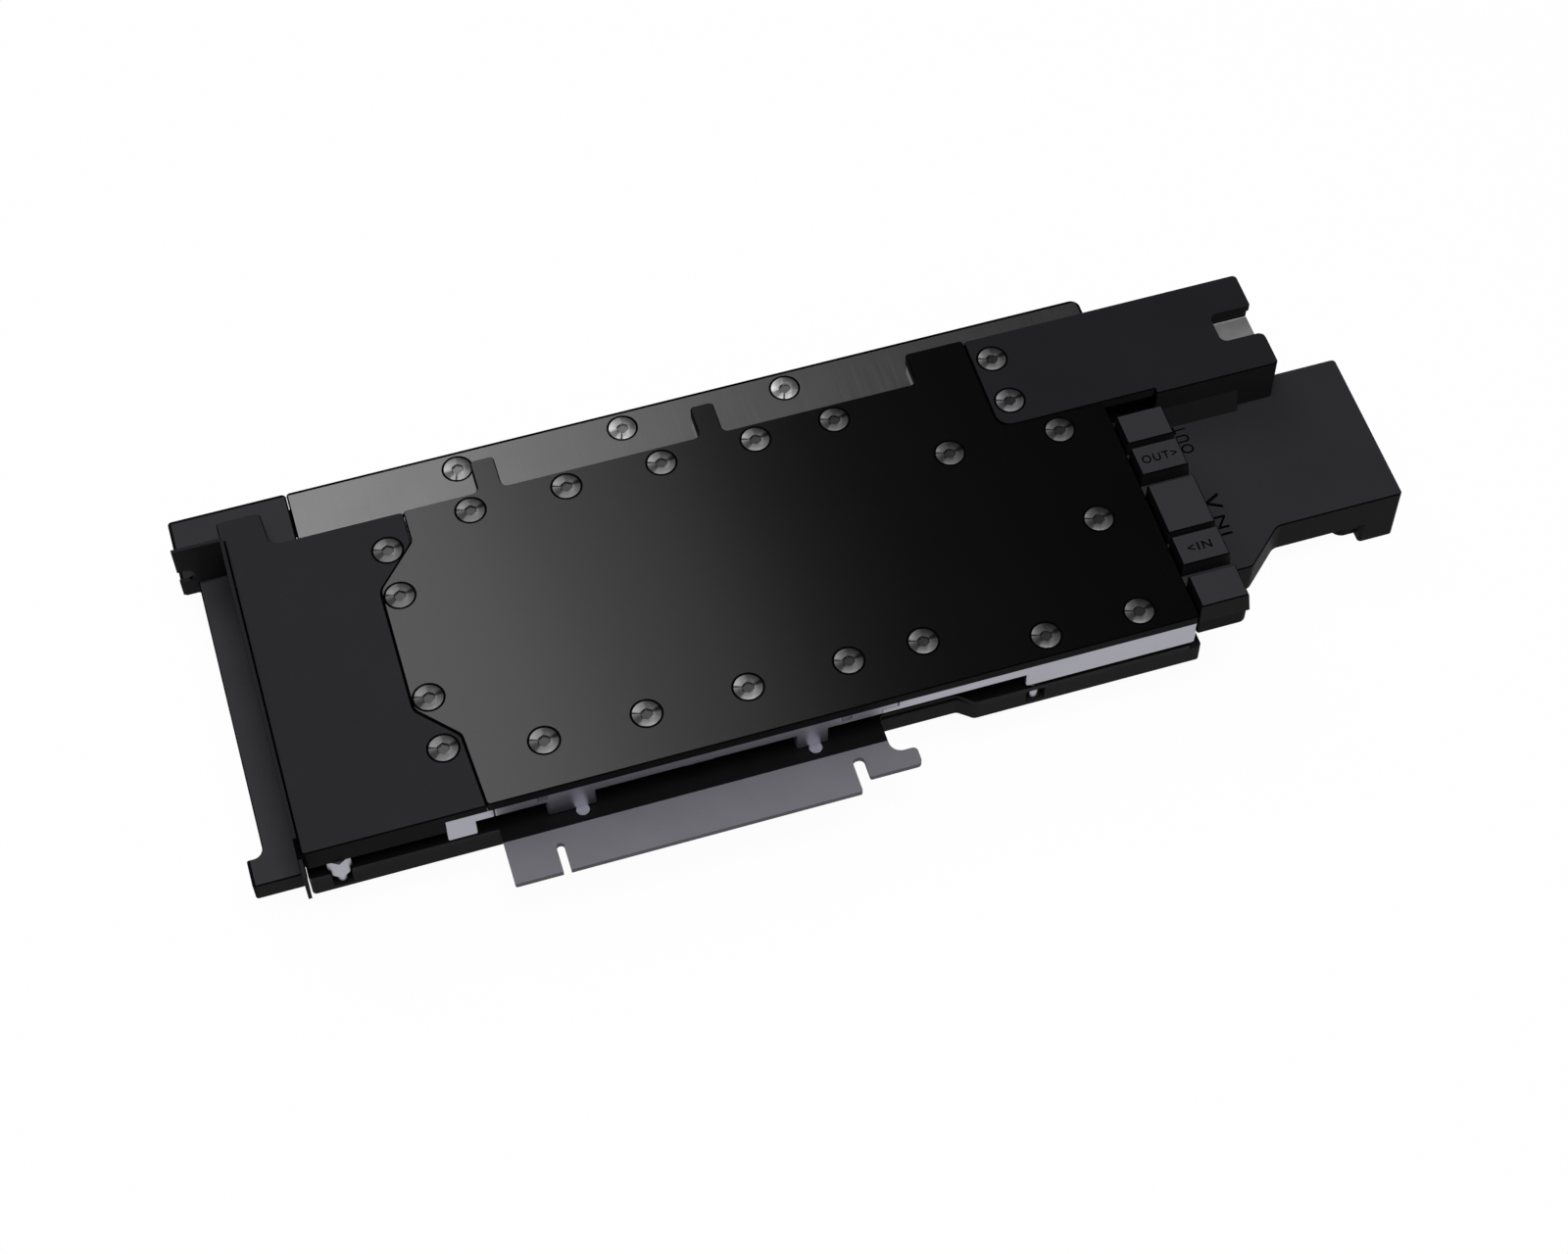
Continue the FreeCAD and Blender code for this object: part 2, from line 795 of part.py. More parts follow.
def power_cover():
    """The power-end cover: a flat leaf on the cold plate and a hood round the power socket."""
    inner_left = hood_left + power_wall
    leaf = slab([(power_left + seam, power_foot, power_round), (inner_left, power_foot),
                 (inner_left, power_far), (power_left + seam, power_far, corner)], flange_top, plate_face)
    hood = slab([(hood_left, power_front, small_round), (power_right, power_front, hood_round),
                 (power_right, power_far, hood_round), (hood_left, power_far, small_round)],
                manifold_top, plate_face)
    wedge_top = manifold_top + power_step_height
    wedge = Part.Face(Part.makePolygon([
        V(inner_left, power_front - power_step_out, manifold_top), V(inner_left, power_front, wedge_top),
        V(inner_left, power_front + power_wall, wedge_top),
        V(inner_left, power_front + power_wall, manifold_top),
        V(inner_left, power_front - power_step_out, manifold_top),
    ])).extrude(V(power_step_right - inner_left, 0, 0))
    cover = broken(fused([leaf, hood, wedge]), plate_face)
    inside = box(hood_left - past, power_right + past, power_front + power_wall, power_far - power_wall,
                 manifold_top - past, plate_face - power_roof)
    notch = block(power_notch_left, power_right + notch_overrun, power_notch_low, power_notch_high,
                  notch_round, plate_face - power_roof - past, plate_face + past)
    cover = cut(cover, [inside, notch])
    near = 1e-3
    for y, radius in ((power_notch_low, notch_near_round), (power_notch_high, notch_far_round)):
        mouth = [e for e in cover.Edges if abs(e.BoundBox.XMin - power_right) < near
                 and abs(e.BoundBox.XMax - power_right) < near and e.BoundBox.YLength < near
                 and abs(e.BoundBox.YMin - y) < near]
        cover = cover.makeFillet(radius, mouth)
    return cut(cover, [screw_seat(x, y, plate_face, flange_top - past) for x, y in power_screws_at])


def power_socket():
    """The power socket: a foot on the board's ear, a body past it and a tongue under the latch notch."""
    mid_y = (ear_low + ear_high) / 2
    low = mid_y - socket_width / 2
    high = mid_y + socket_width / 2
    left = ear_right + fit_gap
    right = left + socket_length
    base = manifold_top + fit_gap
    top = base + socket_height
    body = box(left, right, low, high, base, top)
    foot = box(left - socket_foot, left, low, high, 0, top)
    catch = block(left + socket_catch_inset, right - socket_catch_inset, mid_y - socket_catch / 2,
                  mid_y + socket_catch / 2, small_round, top, top + socket_catch_height)
    tongue_top = plate_face - socket_tongue_drop
    tongue = box(right, power_right - notch_far_round, power_notch_low, power_notch_high,
                 tongue_top - socket_tongue_thickness, tongue_top)
    holes = []
    middle_z = base + socket_height / 2
    half = socket_hole / 2
    for row in range(socket_rows):
        z = middle_z + (row - (socket_rows - 1) / 2) * socket_pitch
        for place in range(socket_columns):
            y = mid_y + (place - (socket_columns - 1) / 2) * socket_pitch
            holes.append(box(right - socket_hole_depth, right + past, y - half, y + half, z - half, z + half))
    return cut(fused([body, foot, catch, tongue]), holes)


def terminal_cap():
    """The upper half of the port terminal: one block, sloping at its end, parted into five pads."""
    top = flange_top + terminal_cap_height
    outer = terminal_right + terminal_lip
    section = [V(terminal_left, board_foot, flange_top), V(outer, board_foot, flange_top),
               V(terminal_right, board_foot, top), V(terminal_left, board_foot, top)]
    cap = Part.Face(Part.makePolygon(section + section[:1])).extrude(V(0, terminal_top - board_foot, 0))
    slots = [box(terminal_left - past, outer + past, y, y + width, top - terminal_slot_depth,
                 top + past) for y, width in terminal_slots]
    cap = broken(cut(cap, slots), top)
    tap_end = manifold_screw_tip + hole_gap
    return cut(cap, threads(manifold_screws_at, flange_top - past, tap_end, stack_shank + thread_gap))


def terminal_base():
    """The lower half of the terminal, with the elbows between the manifold and the cold plate."""
    outer = terminal_right + terminal_lip
    front = slab([(terminal_left, board_foot, small_round), (outer, board_foot, terminal_round),
                  (outer, terminal_top, corner), (terminal_left, terminal_top, small_round)],
                 cover_skirt, flange_top)
    deep = block(terminal_left, terminal_right, manifold_near + terminal_inset, terminal_deep_top, corner,
                 manifold_top, cover_skirt)
    tools = []
    seat = ring_radius + ring_cord / 2 + ring_gap
    inlet = terminal_left - past
    below = manifold_top - past
    for y in (inlet_y, outlet_y):
        tools.append(bar(inlet, riser_end_x, y, passage_z, riser_radius))
        tools.append(rod(riser_end_x, y, below, passage_z, riser_radius))
        tools.append(Part.makeSphere(riser_radius, V(riser_end_x, y, passage_z)))
        tools.append(bar(inlet, plate_right + ring_cord, y, passage_z, seat))
        tools.append(rod(riser_end_x, y, below, manifold_top + ring_cord, seat))
    tools += [rod(x, y, below, flange_top + past, stack_shank + hole_gap) for x, y in manifold_screws_at]
    for y in clamp_screw_rows:
        tools.append(bar(inlet, terminal_right + past, y, clamp_screw_z, stack_shank + hole_gap))
        tools.append(bar(outer - clamp_head_depth, outer + past, y, clamp_screw_z,
                         clamp_head_radius + ring_gap))
    return cut(fused([front, deep]), tools)


def terminal_seals():
    """Rings between the terminal and the cold plate."""
    centre = plate_right + ring_cord / 2
    return Part.makeCompound([ring(centre, y, passage_z, V(1, 0, 0)) for y in (inlet_y, outlet_y)])


def manifold_seals():
    """Rings between the terminal and the manifold."""
    centre = manifold_top + ring_cord / 2
    return Part.makeCompound([ring(riser_end_x, y, centre, V(0, 0, 1)) for y in (inlet_y, outlet_y)])


def manifold():
    """The rear manifold block, with two ports in its end face and galleries to the terminal."""
    plan = [
        (manifold_left, manifold_near, corner), (manifold_step_left, manifold_near, manifold_round),
        (manifold_step_right, manifold_step, manifold_bend), (manifold_right, manifold_step, corner),
        (manifold_right, manifold_far, corner), (manifold_left, manifold_far, corner),
    ]
    body = broken(slab(plan, manifold_face, manifold_top), manifold_top)
    rib_left = manifold_right - manifold_rib_width
    rib_foot = manifold_top - manifold_rib
    rib = block(rib_left, manifold_right, manifold_step, manifold_far, corner, rib_foot, manifold_face)
    step = box(rib_left - manifold_rib_step, rib_left + corner, manifold_step + corner, manifold_far - corner,
               manifold_face - manifold_step_depth, manifold_face)
    boss = block(manifold_right - port_depth - port_boss_wall, rib_left + manifold_rib_width / 2,
                 manifold_step + port_boss_inset, manifold_far - port_boss_inset, manifold_bend,
                 rib_foot, manifold_face)
    body = fused([body, rib, step, boss])
    tools = []
    beyond = manifold_right + past
    for y in port_rows:
        tools.append(bar(manifold_right - port_depth, beyond, y, port_z, port_radius))
        tools.append(bar(manifold_right - port_face_depth, beyond, y, port_z, port_face_radius))
    start = manifold_right - port_depth
    depth = manifold_top - gallery_depth
    low, high = port_rows
    inlet_turn = manifold_step_right + gallery_turn
    inlet_row = low - channel_width
    outlet_turn = manifold_step_right - gallery_turn
    inlet_rise = manifold_step_left - gallery_turn
    tools.append(gallery([(start, low), (inlet_turn, low), (inlet_turn, inlet_row), (inlet_rise, inlet_row),
                          (inlet_rise, inlet_y), (riser_end_x, inlet_y)], depth, gallery_radius))
    tools.append(gallery([(start, high), (outlet_turn, high), (outlet_turn, outlet_y),
                          (riser_end_x, outlet_y)], depth, gallery_radius))
    for y in (inlet_y, outlet_y):
        tools.append(rod(riser_end_x, y, depth, manifold_top + past, gallery_radius))
    below = manifold_face - past
    for x, y in manifold_screws_at:
        tools.append(rod(x, y, below, manifold_top + past, stack_shank + hole_gap))
        tools.append(rod(x, y, below, manifold_face + head_recess, stack_head_radius + ring_gap))
    return cut(body, tools)


def backplate():
    """The tray under the board: floor, rim, screw bosses and the shelf that carries the edge strip."""
    right = board_right + backplate_lap
    neck = contacts_right + latch_neck
    shelf_y = latch_shelf - backplate_shy
    lobe_end = manifold_near - backplate_lobe_gap
    tray = slab([
        (board_left, board_foot, corner), (neck, board_foot, corner), (neck, shelf_y, corner),
        (latch_shelf_right, shelf_y, backplate_bend),
        (latch_shelf_right + latch_shelf_run, board_foot, backplate_bend),
        (right + backplate_lobe, board_foot, corner), (right + backplate_lobe, lobe_end, corner),
        (right, lobe_end), (right, board_top, small_round), (board_left, board_top, small_round),
    ], back_face, board_back)
    wall = backplate_rim
    pocket = block(board_left + wall, right - wall, shelf_y + wall, board_top - wall, backplate_bend,
                   back_face + backplate_floor, board_back + past)
    bosses = [rod(x, y, back_face, board_back, stack_boss_radius) for x, y in stack_screws]
    bosses += [rod(lug_screw_x, y, back_face, board_back, lug_boss_radius) for y in lug_rows]
    shelf_left = side_plate_arm + shelf_gap
    shelf_face = board_back - strip_thickness
    shelf = slab([(shelf_left, board_top - small_round), (board_right, board_top - small_round),
                  (board_right, rear_top - shelf_gap, shelf_round),
                  (shelf_left, rear_top - shelf_gap, shelf_round)], back_face, shelf_face)
    tongue = box(side_plate_arm - tongue_reach, side_plate_arm + past, tongue_low, tongue_high,
                 tongue_foot, tongue_foot + tongue_thickness)
    tray = fused([tray.cut(pocket)] + bosses + [shelf, tongue])
    above = board_back + past
    tools = []
    for x, y in stack_screws:
        tools.append(rod(x, y, back_face - past, above, stack_shank + hole_gap))
        tools.append(rod(x, y, back_face - past, back_face + head_recess, stack_head_radius + hole_gap))
    tools += [rod(lug_screw_x, y, bracket_sheet - lug_screw_length - tip_gap, above, stack_shank + thread_gap)
              for y in lug_rows]
    notch = stud_lower_radius + stud_notch
    for x, upper, top in edge_studs_at:
        tools.append(rod(x, stud_row, stud_foot, above, notch))
        tools.append(box(x - notch, x + notch, board_foot - past, stud_row, stud_foot, above))
    tools += threads(strip_screws_at, board_back - screw_length - tip_gap, board_back)
    return cut(tray, tools)


def edge_strip():
    """The metal strip along the far side, level with the board's back."""
    face = board_back
    left = side_plate_arm + seam
    near = board_top + shelf_gap
    points = [(left, near, small_round), (strip_right, near, small_round),
              (strip_right, rear_top, strip_round), (left, rear_top, corner)]
    strip = slab(points, face - strip_thickness, face)
    return cut(broken(strip, face), [screw_seat(x, y, face, face - strip_thickness - past)
                                     for x, y in strip_screws_at])


def bracket_side_plate():
    """The flat guard outside the bracket: a long leg with a foot, and an arm along the far side."""
    recess = side_plate_left + side_plate_recess
    inner = bracket_outer - seam
    arm_low = board_top + shelf_gap
    guard = slab([
        (side_plate_left, side_plate_foot, guard_round), (inner, side_plate_foot, small_round),
        (inner, arm_low, corner), (side_plate_arm, arm_low, small_round),
        (side_plate_arm, rear_top, arm_round),
        (side_plate_left, rear_top, corner), (side_plate_left, side_plate_shoulder, guard_round),
        (recess, side_plate_shoulder, guard_round), (recess, side_plate_foot_top, strip_round),
        (side_plate_left, side_plate_foot_top, small_round),
    ], back_face, board_back)
    guard = broken(guard, board_back)
    groove = box(side_plate_arm - tongue_reach - fit_gap, side_plate_arm + past, tongue_low - fit_gap,
                 tongue_high + fit_gap, tongue_foot - fit_gap, tongue_foot + tongue_thickness + fit_gap)
    return guard.cut(groove)


def io_bracket():
    """The folded steel bracket: neck, plate, screw tab with its notch, and two lugs on the board."""
    sheet = bracket_sheet
    outer = bracket_outer
    middle = (bracket_near + bracket_far) / 2
    near = middle + bracket_neck / 2
    far = middle - bracket_neck / 2
    rise = bracket_low + bracket_neck_rise
    plate = box(outer, bracket_inner, bracket_neck_top, bracket_fold + sheet, bracket_far, bracket_near)
    neck_profile = [V(outer, bracket_neck_top, bracket_far), V(outer, bracket_neck_top, bracket_near),
                    V(outer, rise, near), V(outer, bracket_low, near), V(outer, bracket_low, far),
                    V(outer, rise, far), V(outer, bracket_neck_top, bracket_far)]
    neck = Part.Face(Part.makePolygon(neck_profile)).extrude(V(sheet, 0, 0))
    tab_left = bracket_outer - bracket_tab
    tab = box(tab_left, bracket_inner, bracket_fold, bracket_fold + sheet, bracket_far, bracket_near)
    below = bracket_fold - past
    above = bracket_fold + sheet + past
    slot_end = tab_left + tab_slot_length - tab_slot_width / 2
    slot = fused([box(tab_left - past, slot_end, below, above, tab_slot_z - tab_slot_width / 2,
                      tab_slot_z + tab_slot_width / 2),
                  Part.makeCylinder(tab_slot_width / 2, above - below, V(slot_end, below, tab_slot_z),
                                    V(0, 1, 0))])
    relief = box(tab_left + tab_relief, bracket_outer, below, above, bracket_far - past, tab_relief_z)
    lugs = [box(bracket_outer, bracket_inner + lug_length, y - lug_width / 2, y + lug_width / 2, 0, sheet)
            for y in lug_rows]
    bracket = fused([plate, neck, tab] + lugs)
    holes = [rod(lug_screw_x, y, -past, sheet + past, stack_shank + hole_gap) for y in lug_rows]
    return cut(bracket, [slot, relief] + holes)


def pan_screw(seat, axis, length, head=stack_head_radius, height=stack_head_height):
    """A small pan-head screw: its head stands on a seat point and faces along the axis."""
    cap = turned([(0, 0), (head, 0), (head, height - head_bevel), (head - head_bevel, height), (0, height)])
    shank = Part.makeCylinder(stack_shank, length, V(0, 0, -length))
    half = cross_width / 2
    slot = box(-cross_reach, cross_reach, -half, half, height - cross_depth, height + past)
    slots = [slot, slot.rotated(V(0, 0, 0), V(0, 0, 1), 90)]
    screw = cut(fused([cap, shank]), slots)
    screw.Placement = FreeCAD.Placement(seat, FreeCAD.Rotation(V(0, 0, 1), axis))
    return screw


def bracket_screws():
    """Screws through the bracket's lugs and the board into the backplate."""
    return Part.makeCompound([pan_screw(V(lug_screw_x, y, bracket_sheet), V(0, 0, 1), lug_screw_length)
                              for y in lug_rows])


def stack_screw_group():
    """Screws from below that pull backplate, board and cold plate together."""
    seat = back_face + head_recess
    length = flange_face - stack_screw_shy - seat
    return Part.makeCompound([pan_screw(V(x, y, seat), V(0, 0, -1), length) for x, y in stack_screws])


def manifold_screw_group():
    """Long screws from under the manifold, through the terminal's base into its cap."""
    seat = manifold_face + head_recess
    return Part.makeCompound([pan_screw(V(x, y, seat), V(0, 0, -1), manifold_screw_tip - seat)
                              for x, y in manifold_screws_at])


def clamp_screw_group():
    """Screws along X that press the terminal's seals against the cold plate."""
    seat = terminal_right + terminal_lip - clamp_head_depth
    return Part.makeCompound([pan_screw(V(seat, y, clamp_screw_z), V(1, 0, 0), clamp_screw_length,
                                        clamp_head_radius, clamp_head_depth - hole_gap)
                              for y in clamp_screw_rows])


def screw_group(places, face):
    """A set of like countersunk screws as separate solids."""
    return Part.makeCompound([countersunk_screw(x, y, face) for x, y in places])


pieces = {
    "circuit_board": circuit_board,
    "processor": processor,
    "power_stages": power_stages,
    "power_pads": power_pads,
    "power_chokes": power_chokes,
    "choke_pads": choke_pads,
    "cold_plate": cold_plate,
    "main_seal": main_seal,
    "top_plate": top_plate,
    "top_plate_screws": lambda: screw_group(plate_screws, plate_face),
    "side_rail": side_rail,
    "rail_posts": rail_posts,
    "edge_studs": edge_studs,
    "bracket_end_cover": bracket_end_cover,
    "end_cover_screws": lambda: screw_group(end_cover_screws_at, cover_face),
    "power_cover": power_cover,
    "power_cover_screws": lambda: screw_group(power_screws_at, plate_face),
    "power_socket": power_socket,
    "terminal_cap": terminal_cap,
    "terminal_base": terminal_base,
    "terminal_seals": terminal_seals,
    "manifold": manifold,
    "manifold_seals": manifold_seals,
    "backplate": backplate,
    "stack_screws": stack_screw_group,
    "manifold_screws": manifold_screw_group,
    "terminal_clamp_screws": clamp_screw_group,
    "edge_strip": edge_strip,
    "edge_strip_screws": lambda: screw_group(strip_screws_at, board_back),
    "bracket_side_plate": bracket_side_plate,
    "io_bracket": io_bracket,
    "bracket_screws": bracket_screws,
}

os.makedirs("parts", exist_ok=True)
for name, make in pieces.items():
    shape = make()
    shape.exportStep("parts/" + name + ".step")
    extent = shape.BoundBox
    print(f"{name:22} solids {len(shape.Solids):3} volume {shape.Volume:9.1f} valid {shape.isValid()} "
          f"x {extent.XMin:7.1f} {extent.XMax:7.1f} y {extent.YMin:7.1f} {extent.YMax:7.1f} "
          f"z {extent.ZMin:6.1f} {extent.ZMax:6.1f}")
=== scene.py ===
# %% [markdown]
# A liquid cold plate on its card, dressed for a studio picture. This script gives them their finishes,
# models the small things that a solid model leaves out, and lights the scene. We work in metres, as
# Blender does, and write sizes in millimetres through one small helper, because that is how the real
# object is measured.

# %% Load the frame
import math
import bmesh
import bpy
from mathutils import Matrix, Quaternion, Vector


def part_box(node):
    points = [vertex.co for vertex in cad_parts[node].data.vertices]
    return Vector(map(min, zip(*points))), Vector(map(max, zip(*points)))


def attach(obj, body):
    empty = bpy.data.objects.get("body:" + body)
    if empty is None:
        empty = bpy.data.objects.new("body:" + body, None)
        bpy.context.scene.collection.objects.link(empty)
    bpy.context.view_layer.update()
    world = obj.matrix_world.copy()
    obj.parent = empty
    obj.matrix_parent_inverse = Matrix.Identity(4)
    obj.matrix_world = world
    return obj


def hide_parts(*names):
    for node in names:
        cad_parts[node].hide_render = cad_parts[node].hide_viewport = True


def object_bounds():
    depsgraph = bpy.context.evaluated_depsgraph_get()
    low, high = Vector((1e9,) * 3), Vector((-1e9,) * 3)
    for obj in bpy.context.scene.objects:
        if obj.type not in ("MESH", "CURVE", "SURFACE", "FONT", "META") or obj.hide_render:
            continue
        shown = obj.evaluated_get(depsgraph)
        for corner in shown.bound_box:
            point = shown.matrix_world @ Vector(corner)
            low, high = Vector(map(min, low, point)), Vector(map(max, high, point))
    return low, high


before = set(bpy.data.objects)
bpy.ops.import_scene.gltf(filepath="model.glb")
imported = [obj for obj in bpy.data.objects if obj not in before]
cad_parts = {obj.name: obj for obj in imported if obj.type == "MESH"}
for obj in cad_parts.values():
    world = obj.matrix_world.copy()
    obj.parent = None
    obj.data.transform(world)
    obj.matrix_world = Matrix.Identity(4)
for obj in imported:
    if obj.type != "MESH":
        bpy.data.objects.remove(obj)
cad_low, cad_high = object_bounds()
bpy.ops.object.select_all(action="DESELECT")
scene = bpy.context.scene


def mm(value):
    """A length in millimetres as metres."""
    return value / 1000


def place(x, y, z):
    """A point in millimetres as a vector in metres."""
    return Vector((mm(x), mm(y), mm(z)))


print("nodes", len(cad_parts), "box", [round(v, 4) for v in (*cad_low, *cad_high)])

# %% [markdown]
# The camera comes first, so that every later choice is judged in the picture's own frame. A product shot
# like this one is taken from well above the front edge with a long lens, so the lines stay nearly parallel.
# We place the camera, aim it at a point on the board and roll it slightly about its own axis.

# %% Camera
camera_place = place(-44.2, -341.7, 627.5)
camera_aim = place(68.1, 50.1, 0.0)
camera_roll = math.radians(-1.03)
focal_length = 69.8
film_width = 36
bpy.ops.object.camera_add(location=camera_place)
camera = bpy.context.object
camera.name = "product_camera"
camera.rotation_mode = "QUATERNION"
toward = (camera_aim - camera_place).to_track_quat("-Z", "Y")
camera.rotation_quaternion = toward @ Quaternion((0, 0, 1), camera_roll)
camera.data.lens = focal_length
camera.data.sensor_width = film_width
camera.data.clip_start = 0.01
camera.data.clip_end = 20
scene.camera = camera
print("camera distance", round((camera_aim - camera_place).length, 3))

# %% [markdown]
# Shader maths reads best as ordinary arithmetic. Node trees can be built link by link, but a mask such as
# 1 - ring * 0.5 then takes a dozen lines. So one small class wraps a socket and gives it the operators.

# %% Sockets with operators
class Wire:
    """An output socket that can be added, multiplied and compared like a number."""

    def __init__(self, finish, socket):
        self.finish = finish
        self.socket = socket

    def math(self, operation, *values):
        return self.finish.node("ShaderNodeMath", {"operation": operation}, values)

    def __add__(self, other):
        return self.math("ADD", self, other)

    def __sub__(self, other):
        return self.math("SUBTRACT", self, other)

    def __rsub__(self, other):
        return self.math("SUBTRACT", other, self)

    def __mul__(self, other):
        return self.math("MULTIPLY", self, other)

    def __gt__(self, other):
        return self.math("GREATER_THAN", self, other)

    def __lt__(self, other):
        return self.math("LESS_THAN", self, other)

    __radd__ = __add__
    __rmul__ = __mul__


print("sockets ready")

# %% [markdown]
# A finish is one material: a shader with its fixed values, and the nodes that vary it over the surface. All
# nodes come from one method, which takes a node's type, its settings and its inputs. Patterns read the
# object's own coordinates, so they keep their real scale and stay on the surface in every view.

# %% A finish and its nodes
class Finish:
    """One material, with its shader's fixed values and its texture position."""

    def __init__(self, name, **fixed):
        self.material = bpy.data.materials.new(name)
        self.material.use_nodes = True
        self.tree = self.material.node_tree
        self.shader = self.tree.nodes["Principled BSDF"]
        for word, value in fixed.items():
            self.shader.inputs[word.replace("_", " ").title().replace("Ior", "IOR")].default_value = value
        self.spot = self.node("ShaderNodeTexCoord", {}, {}, "Object")

    def node(self, kind, settings, values, output=None):
        """A node from its type, its settings and its inputs; returns one of its outputs."""
        made = self.tree.nodes.new(kind)
        for word, value in settings.items():
            setattr(made, word, value)
        sockets = [s for s in made.inputs if s.enabled]
        pairs = values.items() if isinstance(values, dict) else enumerate(values)
        for key, value in pairs:
            socket = sockets[key] if isinstance(key, int) else next(s for s in sockets if s.name == key)
            if isinstance(value, Wire):
                self.tree.links.new(value.socket, socket)
            else:
                socket.default_value = value
        outputs = [s for s in made.outputs if s.enabled]
        chosen = outputs[0] if output is None else next(s for s in outputs if s.name == output)
        return Wire(self, chosen)

    def noise(self, size, detail, spot=None):
        """Soft noise whose lumps are about a given size in millimetres."""
        return self.node("ShaderNodeTexNoise", {}, {"Vector": spot or self.spot, "Scale": 1 / mm(size),
                                                    "Detail": detail}, "Fac")

    def blend(self, mask, low, high):
        """A colour between two colours."""
        return self.node("ShaderNodeMix", {"data_type": "RGBA"}, {"Factor": mask, "A": low, "B": high})

    def ramp(self, mask, stops):
        """A colour from a list of (position, colour) stops, for a mask between 0 and 1."""
        out = self.node("ShaderNodeValToRGB", {}, [mask], "Color")
        elements = out.socket.node.color_ramp.elements
        while len(elements) < len(stops):
            elements.new(1.0)
        for element, (position, colour) in zip(elements, stops):
            element.position = position
            element.color = colour
        return out

    def part(self, axis, spot=None):
        """One coordinate of the texture position, in metres."""
        return self.node("ShaderNodeSeparateXYZ", {}, {"Vector": spot or self.spot}, axis)

    def feed(self, socket, wire):
        """Lead a wire to one of the shader's sockets."""
        self.tree.links.new(wire.socket, self.shader.inputs[socket])

    def bump(self, height, strength, reach):
        """A bump of a given depth in millimetres, fed to the shader's normal."""
        self.feed("Normal", self.node("ShaderNodeBump", {}, {"Height": height, "Strength": strength,
                                                             "Distance": mm(reach)}))

    def cover(self, mask, second):
        """Show a second shader in place of the first one, by a mask."""
        first = Wire(self, self.shader.outputs[0])
        mixed = self.node("ShaderNodeMixShader", {}, [mask, first, second])
        self.tree.links.new(mixed.socket, self.tree.nodes["Material Output"].inputs["Surface"])

    def done(self):
        """The material, once its nodes are in place."""
        print(self.material.name, "nodes", len(self.tree.nodes))
        return self.material


# %% [markdown]
# A picture shows colours as levels between 0 and 255, while a shader takes linear light. One function turns
# the first into the second. The coats here lean a little to blue, as black anodising and dark paint do, so
# that lean is a tint of its own. Most finishes then wander between a darker and a lighter shade of one level.

# %% Colours from picture levels
def shade(level, tint=(1.0, 1.0, 1.0)):
    """A colour from a picture level between 0 and 255, as the linear value that a shader takes."""
    share = level / 255
    linear = share / 12.92 if share <= 0.04045 else ((share + 0.055) / 1.055) ** 2.4
    return (linear * tint[0], linear * tint[1], linear * tint[2], 1.0)


def mottled(f, mask, level, tint=(1.0, 1.0, 1.0), spread=(0.9, 1.08)):
    """A colour that wanders round one picture level, by a mask."""
    return f.blend(mask, shade(level * spread[0], tint), shade(level * spread[1], tint))


cool = (0.96, 0.95, 1.08)
print("middle grey", [round(v, 3) for v in shade(128, cool)])

# %% [markdown]
# Walls, level faces and broken edges of one real part take the light differently, so their light and shade
# is painted into the colour: walls get a painted level of their own, lighter or darker, and broken edges a
# painted dark shade. We could give each face its own material by hand, but the direction of a face already
# tells them apart. So these masks read it, and a last one marks what lies past given lines, for painted dark
# bands.

# %% Masks from a face's direction and place
level_from = 0.95
wall_below = 0.3
end_from = 0.7


def facing(f, axis):
    """How far each flat face looks along an axis, from -1 to 1."""
    return f.part(axis, f.node("ShaderNodeNewGeometry", {}, {}, "True Normal"))


def rim(f):
    """A mask of the small slopes, broken edges and the seats of the screws, which get a painted dark shade.
    """
    up = facing(f, "Z")
    return (up > wall_below) * (up < level_from)


def beyond(f, lines):
    """A mask of what lies past any of the given lines: (axis, 1 for above or -1 for below, place)."""
    mask = None
    for axis, side, at in lines:
        past = f.part(axis) > at if side > 0 else f.part(axis) < at
        mask = past if mask is None else mask.math("MAXIMUM", mask, past)
    return mask


def outer_shade_bands(node, left, right, far):
    """The lines inside a CAD node's left, right and far edges, for painted dark shade bands of given widths
    in millimetres.
    """
    low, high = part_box(node)
    return (("Y", 1, high.y - mm(far)), ("X", -1, low.x + mm(left)), ("X", 1, high.x - mm(right)))


strip_shade_bands = outer_shade_bands("edge_strip", left=0.45, right=0.8, far=0.95)
side_plate_shade_bands = outer_shade_bands("bracket_side_plate", left=0.8, right=0.4, far=0.95)
print("strip bands from", [round(at, 4) for axis, side, at in strip_shade_bands])

# %% [markdown]
# The largest surface is the top plate: metal with a smooth, nearly black coat that mirrors the studio
# softly. A plain black paint would stay flat, so the coat keeps a low roughness with slow patches in it, and
# the gradient from grey to black across the plate comes from where the softbox ends, as in a real studio.
# The sawn sides and the broken edges don't mirror anything, so they get a second, rougher shader, in which
# the broken edges are a painted dark shade.

# %% Top plate coat
def top_plate_coat():
    f = Finish("top_plate_coat", specular_ior_level=0.62, metallic=0.0)
    patch = f.noise(size=38.0, detail=3.0)
    grain = f.noise(size=0.35, detail=2.0)
    f.feed("Base Color", f.blend(patch, shade(2), shade(4)))
    f.feed("Roughness", 0.155 + patch * 0.02 + grain * 0.02)
    f.bump(grain, strength=0.04, reach=0.02)
    # On the second shader the broken edges get a painted dark shade.
    sawn = f.node("ShaderNodeBsdfPrincipled", {}, {"Base Color": f.blend(rim(f), shade(29), shade(5)),
                                                   "Roughness": 0.6, "Specular IOR Level": 0.02})
    f.cover(facing(f, "Z") < level_from, sawn)
    return f.done()


plate_coat = top_plate_coat()
